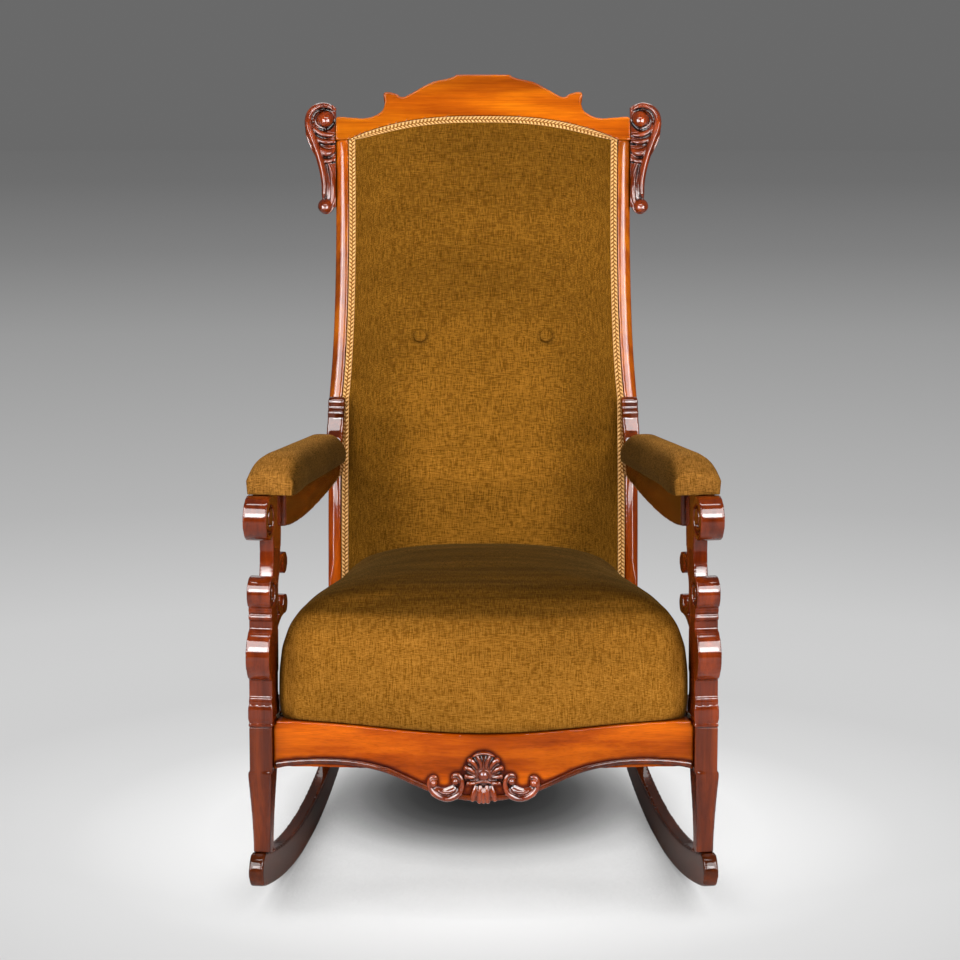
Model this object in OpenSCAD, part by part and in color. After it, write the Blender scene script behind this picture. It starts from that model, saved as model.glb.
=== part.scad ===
// Victorian show-wood rocking armchair on two curved runners.
// The chair faces -Y, +X is to the right as it is seen from the front, +Z is up.
// The origin is on the floor, in the middle of the chair's length and width.

/* [Overall] */
// Distance between the centres of the front legs
leg_spacing = 562; // [540:2:600]
// Height of the seat frame's top above the floor
rail_top = 252; // [235:1:290]
// Distance from the front legs' faces to the back posts' faces at the seat
seat_depth = 496; // [450:2:540]
// Height of the back posts' tops above the floor
post_top = 977; // [900:1:1040]
// How far the back posts' tops lie behind their faces at the seat
post_rake = 201; // [150:1:230]

/* [Rockers] */
// Radius of the runners' lower edge
rocker_radius = 1292; // [1210:2:1380]
// Height of a runner's section
rocker_depth = 43; // [36:1:50]
// Thickness of a runner
rocker_thickness = 19; // [16:1:26]
// Distance between the runners' centres at the front legs
rocker_spread = 574; // [566:1:582]
// Angle by which the runners draw in towards the back
rocker_toe = 5.6; // [5:0.1:6]
// Distance from the front legs' faces to the point where the runners touch the floor
rocker_contact = 335; // [310:1:360]
// How far the runners reach ahead of the front legs' faces
rocker_nose = 14; // [8:1:30]
// How far the runners reach behind the front legs' faces
rocker_tail = 856; // [800:1:900]
// Radius of the pegs that hold the legs to the runners
peg_radius = 4; // [3:0.5:5]
// Length of a peg
peg_length = 44; // [36:1:52]

/* [Front legs] */
// Width of a front leg's block
leg_width = 29; // [27:1:33]
// Depth of a front leg's block, from front to back
leg_depth = 45; // [42:1:54]
// Width of a front leg at its ankle
ankle_width = 22; // [18:1:26]
// Depth of a front leg at its ankle
ankle_depth = 31; // [26:1:36]
// How much wider the foot is than the ankle
foot_flare = 4; // [2:1:6]
// Chamfer along a front leg's corners
leg_chamfer = 4; // [2:0.5:5]

/* [Seat frame] */
// Height of the seat rails
rail_height = 54; // [46:1:62]
// Thickness of the seat rails
rail_thickness = 26; // [22:1:30]
// How far the front rail's ends lie behind the legs' faces
rail_setback = 12; // [8:1:16]
// How far the front rail bows forward at its middle
front_bow = 22; // [12:1:28]
// How far the front rail's ends stand above the side rails
rail_lift = 5; // [2:1:8]
// How far the front rail's top edge dips at its middle
rail_dip = 12; // [6:1:16]
// Thickness of the apron, the front rail's shaped lower part
apron_thickness = 14; // [12:1:18]
// How far the apron hangs below the side rails at its middle
apron_drop = 39; // [30:1:46]
// Radius of the bead along the apron's lower edge
bead_radius = 4; // [3:0.5:5]
// Leg length of the corner blocks
block_leg = 58; // [48:1:68]
// Height of the corner blocks
block_height = 30; // [24:1:40]
// Radius of the corner blocks' screws
screw_radius = 2.4; // [2:0.1:3]

/* [Carving] */
// Radius of the outer scroll of the apron's carving
apron_scroll_radius = 15; // [12:0.5:17]
// Radius of the carved shell's boss
shell_radius = 15; // [12:0.5:17]
// How far the carving stands out of the apron
carving_relief = 9; // [6:0.5:12]

/* [Back] */
// Width of a back post, seen from the front
post_width = 38; // [34:1:44]
// Depth of a back post
post_depth = 30; // [26:1:36]
// Distance between the back posts' outer faces at the seat
post_spread = 452; // [440:1:464]
// How far each back post draws in at its waist
post_waist = 8; // [4:1:12]
// Width of post that shows beside the upholstery
post_show = 20; // [18:1:22]
// Depth of the step that the upholstery's edge lies in
rebate = 9; // [8:0.5:10]
// Height of the crest rail along its slope
crest_height = 106; // [96:1:116]
// Height of the hidden rail at the foot of the back
lower_rail_height = 40; // [34:1:48]
// Radius of the big scroll of the carved ears
ear_radius = 27; // [24:0.5:29]
// Height of the carved ears
ear_height = 164; // [150:1:176]
// Thickness of the carved ears
ear_thickness = 24; // [20:1:26]

/* [Arms] */
// How far the arm supports lean inwards, as an angle
support_lean = 0.5; // [0:0.1:1.5]
// Height of the arm supports above the seat frame
arm_rise = 296; // [276:1:310]
// Thickness of an arm support's strap
strap_thickness = 18; // [16:1:22]
// Thickness of the arm supports' scrolls
scroll_thickness = 30; // [28:1:34]
// Radius of the arm supports' top scroll
top_scroll_radius = 28; // [25:0.5:30]
// Radius of the arm supports' middle scroll
mid_scroll_radius = 21; // [18:0.5:22]
// Radius of the arm supports' lower swelling
swell_radius = 36; // [32:0.5:38]
// How far the top scroll stands ahead of the front legs' faces
scroll_reach = 30; // [24:1:34]
// Height of the collar at the foot of an arm support
collar_height = 38; // [32:1:42]
// How far the collar stands out of the leg's faces
collar_proud = 3; // [2:0.5:5]
// Radius of the small scrolls behind the arm supports
small_scroll_radius = 14; // [12:0.5:16]
// Height of the wooden arms where they meet their supports
arm_height = 54; // [46:1:58]
// How far the arms' rear ends turn up above the supports' tops
tail_rise = 60; // [50:1:70]
// Width of the wooden arms
arm_width = 30; // [26:1:32]
// Width of the arms' upturned ends
arm_tail_width = 24; // [20:1:26]

/* [Upholstery] */
// Height of the seat cushion's crown above the seat frame
seat_crown_height = 180; // [160:1:196]
// How far the seat cushion stands ahead of the front rail
seat_overhang = 3; // [1:0.5:6]
// Width of the arm pads
pad_width = 61; // [54:1:66]
// Height of the arm pads' crown above the supports' tops
pad_crown = 46; // [38:1:54]
// Thickness of the back pad at its middle
back_crown = 30; // [20:1:38]
// Thickness of the back pad at its edge
back_edge = 6; // [5:0.5:8]
// Width of the braid round the back pad
gimp_width = 12; // [8:1:14]
// Thickness of the braid
gimp_thickness = 2; // [1.5:0.25:3]
// Radius of the buttons in the back pad
button_radius = 9; // [7:0.5:11]
// Distance between the two buttons
button_spacing = 184; // [160:1:200]
// Height of the buttons above the floor
button_height = 694; // [660:1:730]
// Width of the webbing straps
strap_width = 50; // [44:1:54]
// Thickness of the webbing straps
strap_gauge = 2; // [1.5:0.25:2.5]
// Radius of the seat springs' ends
spring_radius = 42; // [36:1:46]
// Radius of the springs' wire
wire_radius = 2; // [1.5:0.1:2.5]
// Height of the seat springs
spring_height = 140; // [120:1:150]

/* [Hidden] */

// Round shapes are drawn with this many sides
$fn = 64;
// How far a cutting shape runs past what it cuts
overrun = 5;
// Play between a tenon, peg or screw and its hole
joint_play = 0.2;
// Gap between upholstery and the wood beside it
cloth_gap = 0.4;
// Length, thickness and shoulder of the rails' tenons
tenon_length = 13;
tenon_thickness = 9;
tenon_shoulder = 6;
tenon_haunch = 20;

walnut = [0.45, 0.17, 0.07];
dark_walnut = [0.30, 0.10, 0.05];
beech = [0.72, 0.56, 0.38];
velvet = [0.42, 0.29, 0.10];
braid = [0.72, 0.55, 0.30];
jute = [0.62, 0.50, 0.34];
steel = [0.55, 0.55, 0.57];

// Curves in the plane: a cubic Bezier, a smooth line through points, and their helpers
function bezier(c, t) = pow(1 - t, 3) * c[0] + 3 * pow(1 - t, 2) * t * c[1]
  + 3 * (1 - t) * t * t * c[2] + t * t * t * c[3];
function bezier_line(c, n) = [for (i = [0 : n]) bezier(c, i / n)];
function bezier_share(c, axis, v, lo = 0, hi = 1, n = 24) = n == 0 ? (lo + hi) / 2
  : let (mid = (lo + hi) / 2) bezier(c, mid)[axis] < v
  ? bezier_share(c, axis, v, mid, hi, n - 1) : bezier_share(c, axis, v, lo, mid, n - 1);
function through(p, i, t) = let (a = p[max(i - 1, 0)], b = p[i], c = p[i + 1],
  d = p[min(i + 2, len(p) - 1)]) 0.5 * (2 * b + (c - a) * t + (2 * a - 5 * b + 4 * c - d) * t * t
  + (3 * b - a - 3 * c + d) * t * t * t);
function smooth(p, n) = concat([for (i = [0 : len(p) - 2], k = [0 : n - 1]) through(p, i, k / n)],
  [p[len(p) - 1]]);
function reversed(p) = [for (i = [len(p) - 1 : -1 : 0]) p[i]];
function without_first(p) = [for (i = [1 : len(p) - 1]) p[i]];
function scaled(p, size) = [for (q = p) [q[0] * size[0], q[1] * size[1]]];
function shifted(p, by) = [for (q = p) q + by];
function mirrored_x(p) = [for (i = [len(p) - 1 : -1 : 0]) [-p[i][0], p[i][1]]];
function both_sides(p) = concat(p, mirrored_x(p));
// Closes a right half whose first and last points lie on the middle line
function closed_half(p) = concat(p, [for (i = [len(p) - 2 : -1 : 1]) [-p[i][0], p[i][1]]]);
function side_of(p, i) = let (d = p[min(i + 1, len(p) - 1)] - p[max(i - 1, 0)])
  [-d[1], d[0]] / norm(d);
function ribbon(p, w) = concat([for (i = [0 : len(p) - 1]) p[i] + side_of(p, i) * w[i] / 2],
  [for (i = [len(p) - 1 : -1 : 0]) p[i] - side_of(p, i) * w[i] / 2]);
function tapered(n, w0, w1) = [for (i = [0 : n]) w0 + (w1 - w0) * i / n];
function spiral(centre, r0, r1, a0, a1, n) = [for (i = [0 : n]) let (t = i / n,
  a = a0 + (a1 - a0) * t, r = r0 + (r1 - r0) * t) centre + r * [cos(a), sin(a)]];
function held(v, lo, hi) = max(lo, min(hi, v));
function bump(t) = (1 + cos(180 * held(t, -1, 1))) / 2;

// The runners: heights of their lower and upper edges over a distance back from the legs' faces
function rocker_low(y) = rocker_radius - sqrt(pow(rocker_radius, 2) - pow(y - rocker_contact, 2));
function rocker_high(y) = rocker_radius
  - sqrt(pow(rocker_radius - rocker_depth, 2) - pow(y - rocker_contact, 2));
function rocker_x(y) = rocker_spread / 2 - y * tan(rocker_toe);

// The back posts' faces: a raked leg, an upright joint at the seat, and an S-curve above it
rail_bottom = rail_top - rail_height;
knee_share = 0.1;
knee = rail_top + (post_top - rail_top) * knee_share;
foot_back_share = 0.26;
post_foot_y = seat_depth + post_rake * foot_back_share;
post_foot_z = rocker_low(post_foot_y);
stile_shares = [[0, 0], [0, 0.3], [0.56, 0.68], [1, 1]];
rear_leg_shares = [[0, 0], [0.4, 0.33], [1, 0.66], [1, 1]];
stile_curve = shifted(scaled(stile_shares, [post_rake, post_top - knee]), [seat_depth, knee]);
rear_leg_curve = shifted(scaled(rear_leg_shares,
  [seat_depth - post_foot_y, rail_bottom - post_foot_z]), [post_foot_y, post_foot_z]);
curve_steps = 24;
leg_steps = 10;
crest_run = stile_curve[3] - stile_curve[2];
crest_tilt = atan2(crest_run[0], crest_run[1]);
function stile_y(z) = z < rail_bottom ? bezier(rear_leg_curve, bezier_share(rear_leg_curve, 1, z))[0]
  : z < knee ? seat_depth
  : z < post_top ? bezier(stile_curve, bezier_share(stile_curve, 1, z))[0]
  : stile_curve[3][0] + (z - post_top) * tan(crest_tilt);
stile_line = concat(bezier_line(rear_leg_curve, leg_steps), bezier_line(stile_curve, curve_steps),
  [stile_curve[3] + crest_run]);
function stile_part(z0, z1, n) = [for (i = [0 : n]) let (z = z0 + (z1 - z0) * i / n)
  [stile_y(z), z]];

// The back posts' sides: half the chair's width at a height
waist_start_share = 0.43;
waist_low_share = 0.52;
waist_mid_share = 0.68;
waist_shares = [0, 0.8, 1.3, 0.55];
foot_width_share = 0.62;
foot_depth_share = 0.82;
waist_start = knee + (post_top - knee) * waist_start_share;
waist_curve = [[post_spread / 2, waist_start],
  [post_spread / 2 - post_waist * waist_shares[1], knee + (post_top - knee) * waist_low_share],
  [post_spread / 2 - post_waist * waist_shares[2], knee + (post_top - knee) * waist_mid_share],
  [post_spread / 2 - post_waist * waist_shares[3], post_top]];
post_foot_x = rocker_x(post_foot_y) + post_width * foot_width_share / 2;
foot_turn_power = 1.5;
function below_knee(z) = held((knee - z) / (knee - post_foot_z), 0, 1);
function post_outer(z) = z > post_top ? waist_curve[3][0]
  : z > waist_start ? bezier(waist_curve, bezier_share(waist_curve, 1, z))[0]
  : post_spread / 2 + (post_foot_x - post_spread / 2) * pow(below_knee(z), foot_turn_power);
function post_inner(z) = post_outer(z) - post_width * (1 + (foot_width_share - 1) * below_knee(z));
post_stations = concat(
  [for (i = [0 : leg_steps]) post_foot_z + (knee - post_foot_z) * i / leg_steps],
  [for (i = [1 : curve_steps]) knee + (post_top - knee) * i / curve_steps],
  [post_top + crest_height]);
crest_half = post_outer(post_top);

// The front rail: its face, top edge and lower edge over a distance from the middle
rail_half = (leg_spacing - leg_width) / 2;
function rail_face(x) = rail_setback - front_bow * bump(x / rail_half);
function rail_edge(x) = rail_top + rail_lift - rail_dip * bump(x / rail_half);
apron_inner_shares = [[0, -1], [0.2, -1], [0.3, -0.56], [0.42, -0.23]];
apron_outer_shares = [[0.42, -0.23], [0.55, 0.15], [0.8, 0.25], [1, -0.1]];
apron_steps = 12;
rail_steps = 28;
apron_half = concat(
  bezier_line(shifted(scaled(apron_inner_shares, [rail_half, apron_drop]), [0, rail_bottom]),
    apron_steps),
  without_first(bezier_line(shifted(scaled(apron_outer_shares, [rail_half, apron_drop]),
    [0, rail_bottom]), apron_steps)));
apron_line = concat(mirrored_x(apron_half), without_first(apron_half));
rail_ends = [for (i = [-rail_steps : rail_steps]) rail_half * i / rail_steps];

// The side rails run from just inside the legs' outer faces to just inside the posts'
side_inset = 2;
side_start = leg_spacing / 2 + leg_width / 2 - side_inset;
side_end = post_spread / 2 - side_inset;
function side_outer(y) = side_start + (side_end - side_start) * (y - leg_depth)
  / (seat_depth - leg_depth);
side_angle = atan2(side_start - side_end, seat_depth - leg_depth);

// The visible edge of the back's opening, drawn in by an inset: right half, from its foot up
opening_foot = rail_top + overrun;
arch_share = 0.357;
arch_power_share = 2.65;
arch_rise = crest_height * arch_share;
arch_steps = 16;
edge_steps = 24;
function arch(s) = arch_rise * (1 - pow(s, arch_power_share));
function opening_side(z, inset) = post_outer(z) - post_show - inset;
function opening_half(z0, inset) = concat(
  [for (i = [0 : edge_steps]) let (z = z0 + (post_top - z0) * i / edge_steps)
    [opening_side(z, inset), z]],
  [for (i = [1 : arch_steps]) let (s = 1 - i / arch_steps)
    [opening_side(post_top, inset) * s, post_top + arch(s) * cos(crest_tilt)
      - inset * (1 - pow(s, 6))]]);
function opening(z0, inset) = let (h = opening_half(z0, inset))
  concat(h, without_first(mirrored_x(h)));

// The arms' frame: it turns and leans on the middle of a front leg's top edge
support_y = leg_depth / 2;
support_back = leg_depth * 0.94;
arm_top = rail_top + arm_rise;
arm_middle = arm_top - arm_height / 2;
lean_shift = -(arm_rise - arm_height / 2) * tan(support_lean);
arm_rear_x = post_outer(arm_middle) - arm_tail_width / 2;
arm_toe = atan2(leg_spacing / 2 + lean_shift - arm_rear_x, stile_y(arm_middle));

// Places the chair with its origin in the middle of its length
depth_middle = (rocker_tail * cos(rocker_toe) + rocker_thickness / 2 * sin(rocker_toe)
  - scroll_reach * cos(arm_toe) - scroll_thickness / 2 * sin(arm_toe)) / 2;
module in_frame() translate([0, -depth_middle, 0]) children();
module left_of() mirror([1, 0, 0]) children();
module both() {
  children();
  mirror([1, 0, 0]) children();
}
// Larger than the chair, for half spaces
everywhere = rocker_tail + post_top;
module rocker_frame() translate([rocker_spread / 2, 0, 0]) rotate([0, 0, rocker_toe]) children();
module crest_frame() translate([0, stile_curve[3][0], post_top]) rotate([-crest_tilt, 0, 0])
  children();
// Draws a profile given as [back, up] as a board whose thickness runs across x
module board(thickness) translate([-thickness / 2, 0, 0]) rotate([90, 0, 90])
  linear_extrude(thickness) children();
// Draws an outline given as [across, up] as a slab from y0 back to y1
module slab(y0, y1) translate([0, y1, 0]) rotate([90, 0, 0]) linear_extrude(y1 - y0) children();
// A layer that follows the posts' faces between two distances behind them
module layer(y0, y1, z0, z1, n) let (p = stile_part(z0, z1, n)) board(everywhere)
  polygon(concat(shifted(p, [y0, 0]), reversed(shifted(p, [y1, 0]))));

// Runners, with holes for the pegs
rocker_middle_radius = rocker_radius - rocker_depth / 2;
nose_angle = asin((rocker_contact + rocker_nose - rocker_depth / 2) / rocker_middle_radius);
tail_angle = asin((rocker_tail - rocker_contact - rocker_depth / 2) / rocker_middle_radius);
// Angle between the points along the runners' edges
rocker_step = 0.75;
rocker_end_steps = 12;
front_peg_y = leg_depth / 2;
rear_peg_y = (stile_y(rocker_high(post_foot_y) + peg_length / 4)
  + post_depth * foot_depth_share / 2) / cos(rocker_toe);
function rocker_angles(a0, a1) = concat([a0],
  [for (i = [floor(a0 / rocker_step) + 1 : ceil(a1 / rocker_step) - 1]) i * rocker_step], [a1]);
function rocker_arc(r, a0, a1) = [for (a = rocker_angles(a0, a1))
  [rocker_contact + r * sin(a), rocker_radius - r * cos(a)]];
function rocker_cap(angle, start) = [for (i = [1 : rocker_end_steps - 1])
  let (a = start + 180 * i / rocker_end_steps)
  [rocker_contact + rocker_middle_radius * sin(angle) + rocker_depth / 2 * cos(a),
    rocker_radius - rocker_middle_radius * cos(angle) + rocker_depth / 2 * sin(a)]];
rocker_outline = concat(rocker_arc(rocker_radius, -nose_angle, tail_angle),
  rocker_cap(tail_angle, tail_angle - 90),
  reversed(rocker_arc(rocker_radius - rocker_depth, -nose_angle, tail_angle)),
  rocker_cap(-nose_angle, 90 - nose_angle));
module peg_at(y, grow) translate([0, y, rocker_high(y) - peg_length / 2 - grow])
  cylinder(r = peg_radius + grow, h = peg_length + 2 * grow);
module pegs(grow) rocker_frame() {
  peg_at(front_peg_y, grow);
  peg_at(rear_peg_y, grow);
}
module rocker() color(dark_walnut) difference() {
  rocker_frame() board(rocker_thickness) polygon(rocker_outline);
  pegs(joint_play);
}
module rocker_left() in_frame() left_of() rocker();
module rocker_right() in_frame() rocker();
module rocker_pegs() color(beech) in_frame() both() pegs(0);
// Everything that stands on the runners is cut to their upper curve, drawn on past its ends
rocker_margin_angle = 3;
rocker_top_line = rocker_arc(rocker_radius - rocker_depth, -nose_angle - rocker_margin_angle,
  tail_angle);
module on_rocker() intersection() {
  children();
  rocker_frame() board(everywhere) polygon(concat(rocker_top_line,
    [[everywhere, rocker_top_line[len(rocker_top_line) - 1][1]], [everywhere, everywhere],
    [-everywhere, everywhere], [-everywhere, rocker_top_line[0][1]]]));
}

// Front legs: a square block above a shoulder that tapers to an ankle and a small foot
leg_z_shares = [0, 0.08, 0.13, 0.45, 0.8, 0.9, 0.96, 1];
leg_w_shares = [0.05, 0, 0, 0.28, 0.93, 1.08, 1.04, 1];
leg_flare_shares = [1, 0.8, 0, 0, 0, 0, 0, 0];
leg_c_shares = [1, 1, 1, 1, 0.85, 0.4, 0.1, 0];
leg_foot_z = rocker_high(leg_depth) - overrun;
function leg_z(i) = leg_foot_z + (rail_bottom - leg_foot_z) * leg_z_shares[i];
leg_stations = [for (i = [0 : len(leg_z_shares) - 1]) i];
function leg_w(i) = ankle_width + (leg_width - ankle_width) * leg_w_shares[i]
  + foot_flare * leg_flare_shares[i];
function leg_d(i) = ankle_depth + (leg_depth - ankle_depth) * leg_w_shares[i]
  + foot_flare * leg_flare_shares[i];
module leg_prism(turn, widths) rotate([0, 0, turn]) slab(-everywhere, everywhere)
  polygon(both_sides(concat(
    smooth([for (i = leg_stations) [widths[i], leg_z(i)]], 3),
    [[widths[len(widths) - 1], rail_top]])));
module leg_blank() intersection() {
  leg_prism(0, [for (i = leg_stations) leg_w(i) / 2]);
  leg_prism(90, [for (i = leg_stations) leg_d(i) / 2]);
  leg_prism(45, [for (i = leg_stations) (leg_w(i) / 2 + leg_d(i) / 2
    - leg_chamfer * leg_c_shares[i]) / sqrt(2)]);
  leg_prism(-45, [for (i = leg_stations) (leg_w(i) / 2 + leg_d(i) / 2
    - leg_chamfer * leg_c_shares[i]) / sqrt(2)]);
}
// Below its shoulder a leg is turned in line with its runner
leg_turn_z = leg_z(6);
module front_leg() color(walnut) difference() {
  on_rocker() translate([leg_spacing / 2, leg_depth / 2, 0]) union() {
    intersection() {
      leg_blank();
      translate([-everywhere / 2, -everywhere / 2, leg_turn_z]) cube(everywhere);
    }
    rotate([0, 0, rocker_toe]) intersection() {
      leg_blank();
      translate([-everywhere / 2, -everywhere / 2, leg_turn_z - everywhere]) cube(everywhere);
    }
  }
  pegs(joint_play);
  rail_tenons(joint_play);
  side_tenons(joint_play);
  support_tenon(joint_play);
}
module front_leg_left() in_frame() left_of() front_leg();
module front_leg_right() in_frame() front_leg();

// Back posts: one piece from the runner to the crest, stepped to take the upholstery
function post_depth_at(z) = post_depth * (z < rail_bottom
  ? 1 - (1 - foot_depth_share) * (rail_bottom - z) / (rail_bottom - post_foot_z) : 1);
module post_outline() polygon(concat([for (z = post_stations) [post_outer(z), z]],
  [for (z = reversed(post_stations)) [post_inner(z), z]]));
module post_blank() intersection() {
  board(everywhere) polygon(concat(stile_line,
    [for (p = reversed(stile_line)) [p[0] + post_depth_at(p[1]), p[1]]]));
  slab(0, everywhere) post_outline();
}
module above_crest_joint() crest_frame() translate([-everywhere, -everywhere, 0])
  cube(2 * everywhere);
crest_tenon_height = 22;
module crest_tenon(grow) crest_frame()
  translate([crest_half - post_width / 2 - tenon_thickness - grow,
    post_depth / 2 - tenon_thickness / 2 - grow, -overrun])
  cube([2 * tenon_thickness + 2 * grow, tenon_thickness + 2 * grow,
    crest_tenon_height + overrun + grow]);
rebate_foot = rail_top + (knee - rail_top) / 2;
module rebate_cut() intersection() {
  layer(-overrun, rebate, rebate_foot, post_top + crest_height, edge_steps);
  slab(0, everywhere) polygon(opening(rebate_foot, 0));
}
module back_post() color(walnut) difference() {
  union() {
    difference() {
      on_rocker() post_blank();
      above_crest_joint();
      rebate_cut();
    }
    crest_tenon(0);
  }
  pegs(joint_play);
  side_tenons(joint_play);
  back_tenons(joint_play);
  lower_tenons(joint_play);
  arm_screw(joint_play);
}
module back_post_left() in_frame() left_of() back_post();
module back_post_right() in_frame() back_post();

// Seat frame
module rail_plan(thickness) polygon(concat([for (x = rail_ends) [x, rail_face(x)]],
  [for (x = reversed(rail_ends)) [x, rail_face(x) + thickness]]));
module rail_prism(thickness, z0, z1) translate([0, 0, z0]) linear_extrude(z1 - z0)
  rail_plan(thickness);
rail_tenon_y = rail_setback + rail_thickness / 2;
rail_tenon_top = rail_top - tenon_haunch;
rail_tenon_foot = rail_bottom + tenon_shoulder;
module rail_tenons(grow) both() translate([rail_half - overrun,
  rail_tenon_y - tenon_thickness / 2 - grow, rail_tenon_foot - grow])
  cube([tenon_length + overrun + grow, tenon_thickness + 2 * grow,
    rail_tenon_top - rail_tenon_foot + 2 * grow]);
module front_rail_body() {
  intersection() {
    rail_prism(rail_thickness, rail_bottom, rail_top + rail_lift + overrun);
    slab(-everywhere, everywhere) polygon(concat([for (x = rail_ends) [x, rail_edge(x)]],
      [[rail_half, rail_bottom - overrun], [-rail_half, rail_bottom - overrun]]));
  }
  intersection() {
    rail_prism(apron_thickness, rail_bottom - apron_drop - overrun, rail_top - tenon_haunch);
    slab(-everywhere, everywhere) polygon(concat(apron_line,
      [[rail_half, rail_top], [-rail_half, rail_top]]));
  }
}
module front_rail() color(walnut) in_frame() difference() {
  union() {
    front_rail_body();
    rail_tenons(0);
  }
  both() block_screws(joint_play);
  both() collar_room();
}
module side_tenon(x, y, grow) translate([x - tenon_thickness / 2 - grow, y - tenon_length - grow,
  rail_tenon_foot - grow]) cube([tenon_thickness + 2 * grow, 2 * tenon_length + 2 * grow,
    rail_tenon_top - rail_tenon_foot + 2 * grow]);
module side_tenons(grow) {
  side_tenon(side_start - rail_thickness / 2, leg_depth, grow);
  side_tenon(side_end - rail_thickness / 2, seat_depth, grow);
}
module side_rail_body() translate([0, 0, rail_bottom]) linear_extrude(rail_height)
  polygon([[side_start, leg_depth], [side_end, seat_depth],
    [side_end - rail_thickness, seat_depth], [side_start - rail_thickness, leg_depth]]);
module side_rail() color(walnut) difference() {
  union() {
    side_rail_body();
    side_tenons(0);
  }
  block_screws(joint_play);
}
module side_rail_left() in_frame() left_of() side_rail();
module side_rail_right() in_frame() side_rail();
back_inner = post_spread / 2 - post_width;
back_rail_y = seat_depth + side_inset;
// The cross rails' tenons are short, so that their mortises don't meet the side rails'
cross_tenon_length = tenon_length * 0.6;
module cross_tenons(y, z0, z1, grow) both() translate([post_inner(z0) - overrun,
  y - tenon_thickness / 2 - grow, z0 - grow])
  cube([cross_tenon_length + overrun + grow, tenon_thickness + 2 * grow, z1 - z0 + 2 * grow]);
module back_tenons(grow) cross_tenons(back_rail_y + rail_thickness / 2, rail_tenon_foot,
  rail_tenon_top, grow);
module back_seat_rail_body() intersection() {
  translate([-post_spread / 2, back_rail_y, rail_bottom])
    cube([post_spread, rail_thickness, rail_height]);
  slab(0, everywhere) polygon(both_sides(
    [for (z = [rail_bottom, rail_top]) [post_inner(z), z]]));
}
module back_seat_rail() color(beech) in_frame() difference() {
  union() {
    back_seat_rail_body();
    back_tenons(0);
  }
  both() block_screws(joint_play);
}
lower_rail_z = rebate_foot;
lower_rail_thickness = post_depth - rebate;
module lower_tenons(grow) cross_tenons(seat_depth + rebate + lower_rail_thickness / 2,
  lower_rail_z + tenon_shoulder, lower_rail_z + lower_rail_height - tenon_shoulder, grow);
module lower_back_rail() color(beech) in_frame() {
  intersection() {
    slab(0, everywhere) polygon(both_sides([for (i = [0 : leg_steps])
      let (z = lower_rail_z + lower_rail_height * i / leg_steps) [post_inner(z), z]]));
    layer(rebate, post_depth, lower_rail_z, lower_rail_z + lower_rail_height, leg_steps);
  }
  lower_tenons(0);
}

// Corner blocks and their screws
block_top = rail_top - (rail_height - block_height) / 2;
block_screw_z = block_top - block_height / 2;
screw_grip = 12;
screw_bite = 14;
screw_head_radius = screw_radius * 2;
module block_screw(grow) {
  translate([0, 0, -screw_bite - grow])
    cylinder(r = screw_radius + grow, h = screw_bite + screw_grip + grow);
  translate([0, 0, screw_grip - screw_radius])
    cylinder(r1 = screw_radius + grow, r2 = screw_head_radius + grow, h = screw_radius + grow);
  if (grow > 0) translate([0, 0, screw_grip])
    cylinder(r = screw_head_radius + grow, h = block_leg);
}
block_near_share = 0.45;
function side_inner(y) = side_outer(y) - rail_thickness / cos(side_angle);
front_block_y = leg_depth + block_leg * block_near_share;
rear_block_y = seat_depth - block_leg * block_near_share;
front_screw_x = rail_half - block_leg * block_near_share;
rear_screw_x = back_inner - block_leg * block_near_share;
module block_screws(grow) translate([0, 0, block_screw_z]) {
  translate([front_screw_x, rail_face(front_screw_x) + rail_thickness, 0]) rotate([-90, 0, 0])
    block_screw(grow);
  for (y = [front_block_y, rear_block_y]) translate([side_inner(y), y, 0])
    rotate([0, 0, side_angle]) rotate([0, -90, 0]) block_screw(grow);
  translate([rear_screw_x, back_rail_y, 0]) rotate([90, 0, 0]) block_screw(grow);
}
module block_prism() translate([0, 0, block_top - block_height]) linear_extrude(block_height)
  children();
module corner_block_pair() difference() {
  block_prism() {
    polygon([[rail_half + overrun, rail_tenon_y], [rail_half + overrun, leg_depth + block_leg],
      [side_inner(leg_depth + block_leg) - block_leg / 8, leg_depth + block_leg],
      [rail_half - block_leg - overrun, rail_tenon_y + rail_thickness * 3 / 4],
      [rail_half - block_leg - overrun, rail_tenon_y]]);
    polygon([[side_inner(seat_depth) + overrun, back_rail_y + overrun],
      [side_inner(seat_depth - block_leg) + overrun, seat_depth - block_leg],
      [side_inner(seat_depth - block_leg) - block_leg / 8, seat_depth - block_leg],
      [back_inner - block_leg, back_rail_y - block_leg / 8],
      [back_inner - block_leg, back_rail_y + overrun]]);
  }
  front_rail_body();
  side_rail_body();
  back_seat_rail_body();
  translate([rail_half, 0, 0]) cube([leg_width, leg_depth, rail_top]);
  translate([back_inner, seat_depth, 0]) cube([post_width, post_depth, rail_top]);
  block_screws(joint_play);
}
module corner_blocks() color(beech) in_frame() both() corner_block_pair();
module corner_screws() color(steel) in_frame() both() block_screws(0);

// A closed solid through rings of points: each ring has the same, even number of points,
// and its first and last rings are closed by strips between opposite points
function end_strip(first, n) = [for (j = [0 : n / 2 - 2], half = [0, 1])
  let (a = first + j, b = first + n - 1 - j) half == 0 ? [a, a + 1, b - 1] : [a, b - 1, b]];
function ring_faces(rings, n) = concat(end_strip(0, n),
  [for (i = [0 : rings - 2], j = [0 : n - 1], half = [0, 1]) let (a = i * n + j,
    b = i * n + (j + 1) % n) half == 0 ? [b, a, b + n] : [b + n, a, a + n]],
  [for (f = end_strip((rings - 1) * n, n)) reversed(f)]);
module through_rings(rings) polyhedron(points = [for (r = rings) each r],
  faces = ring_faces(len(rings), len(rings[0])), convexity = 8);

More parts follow.
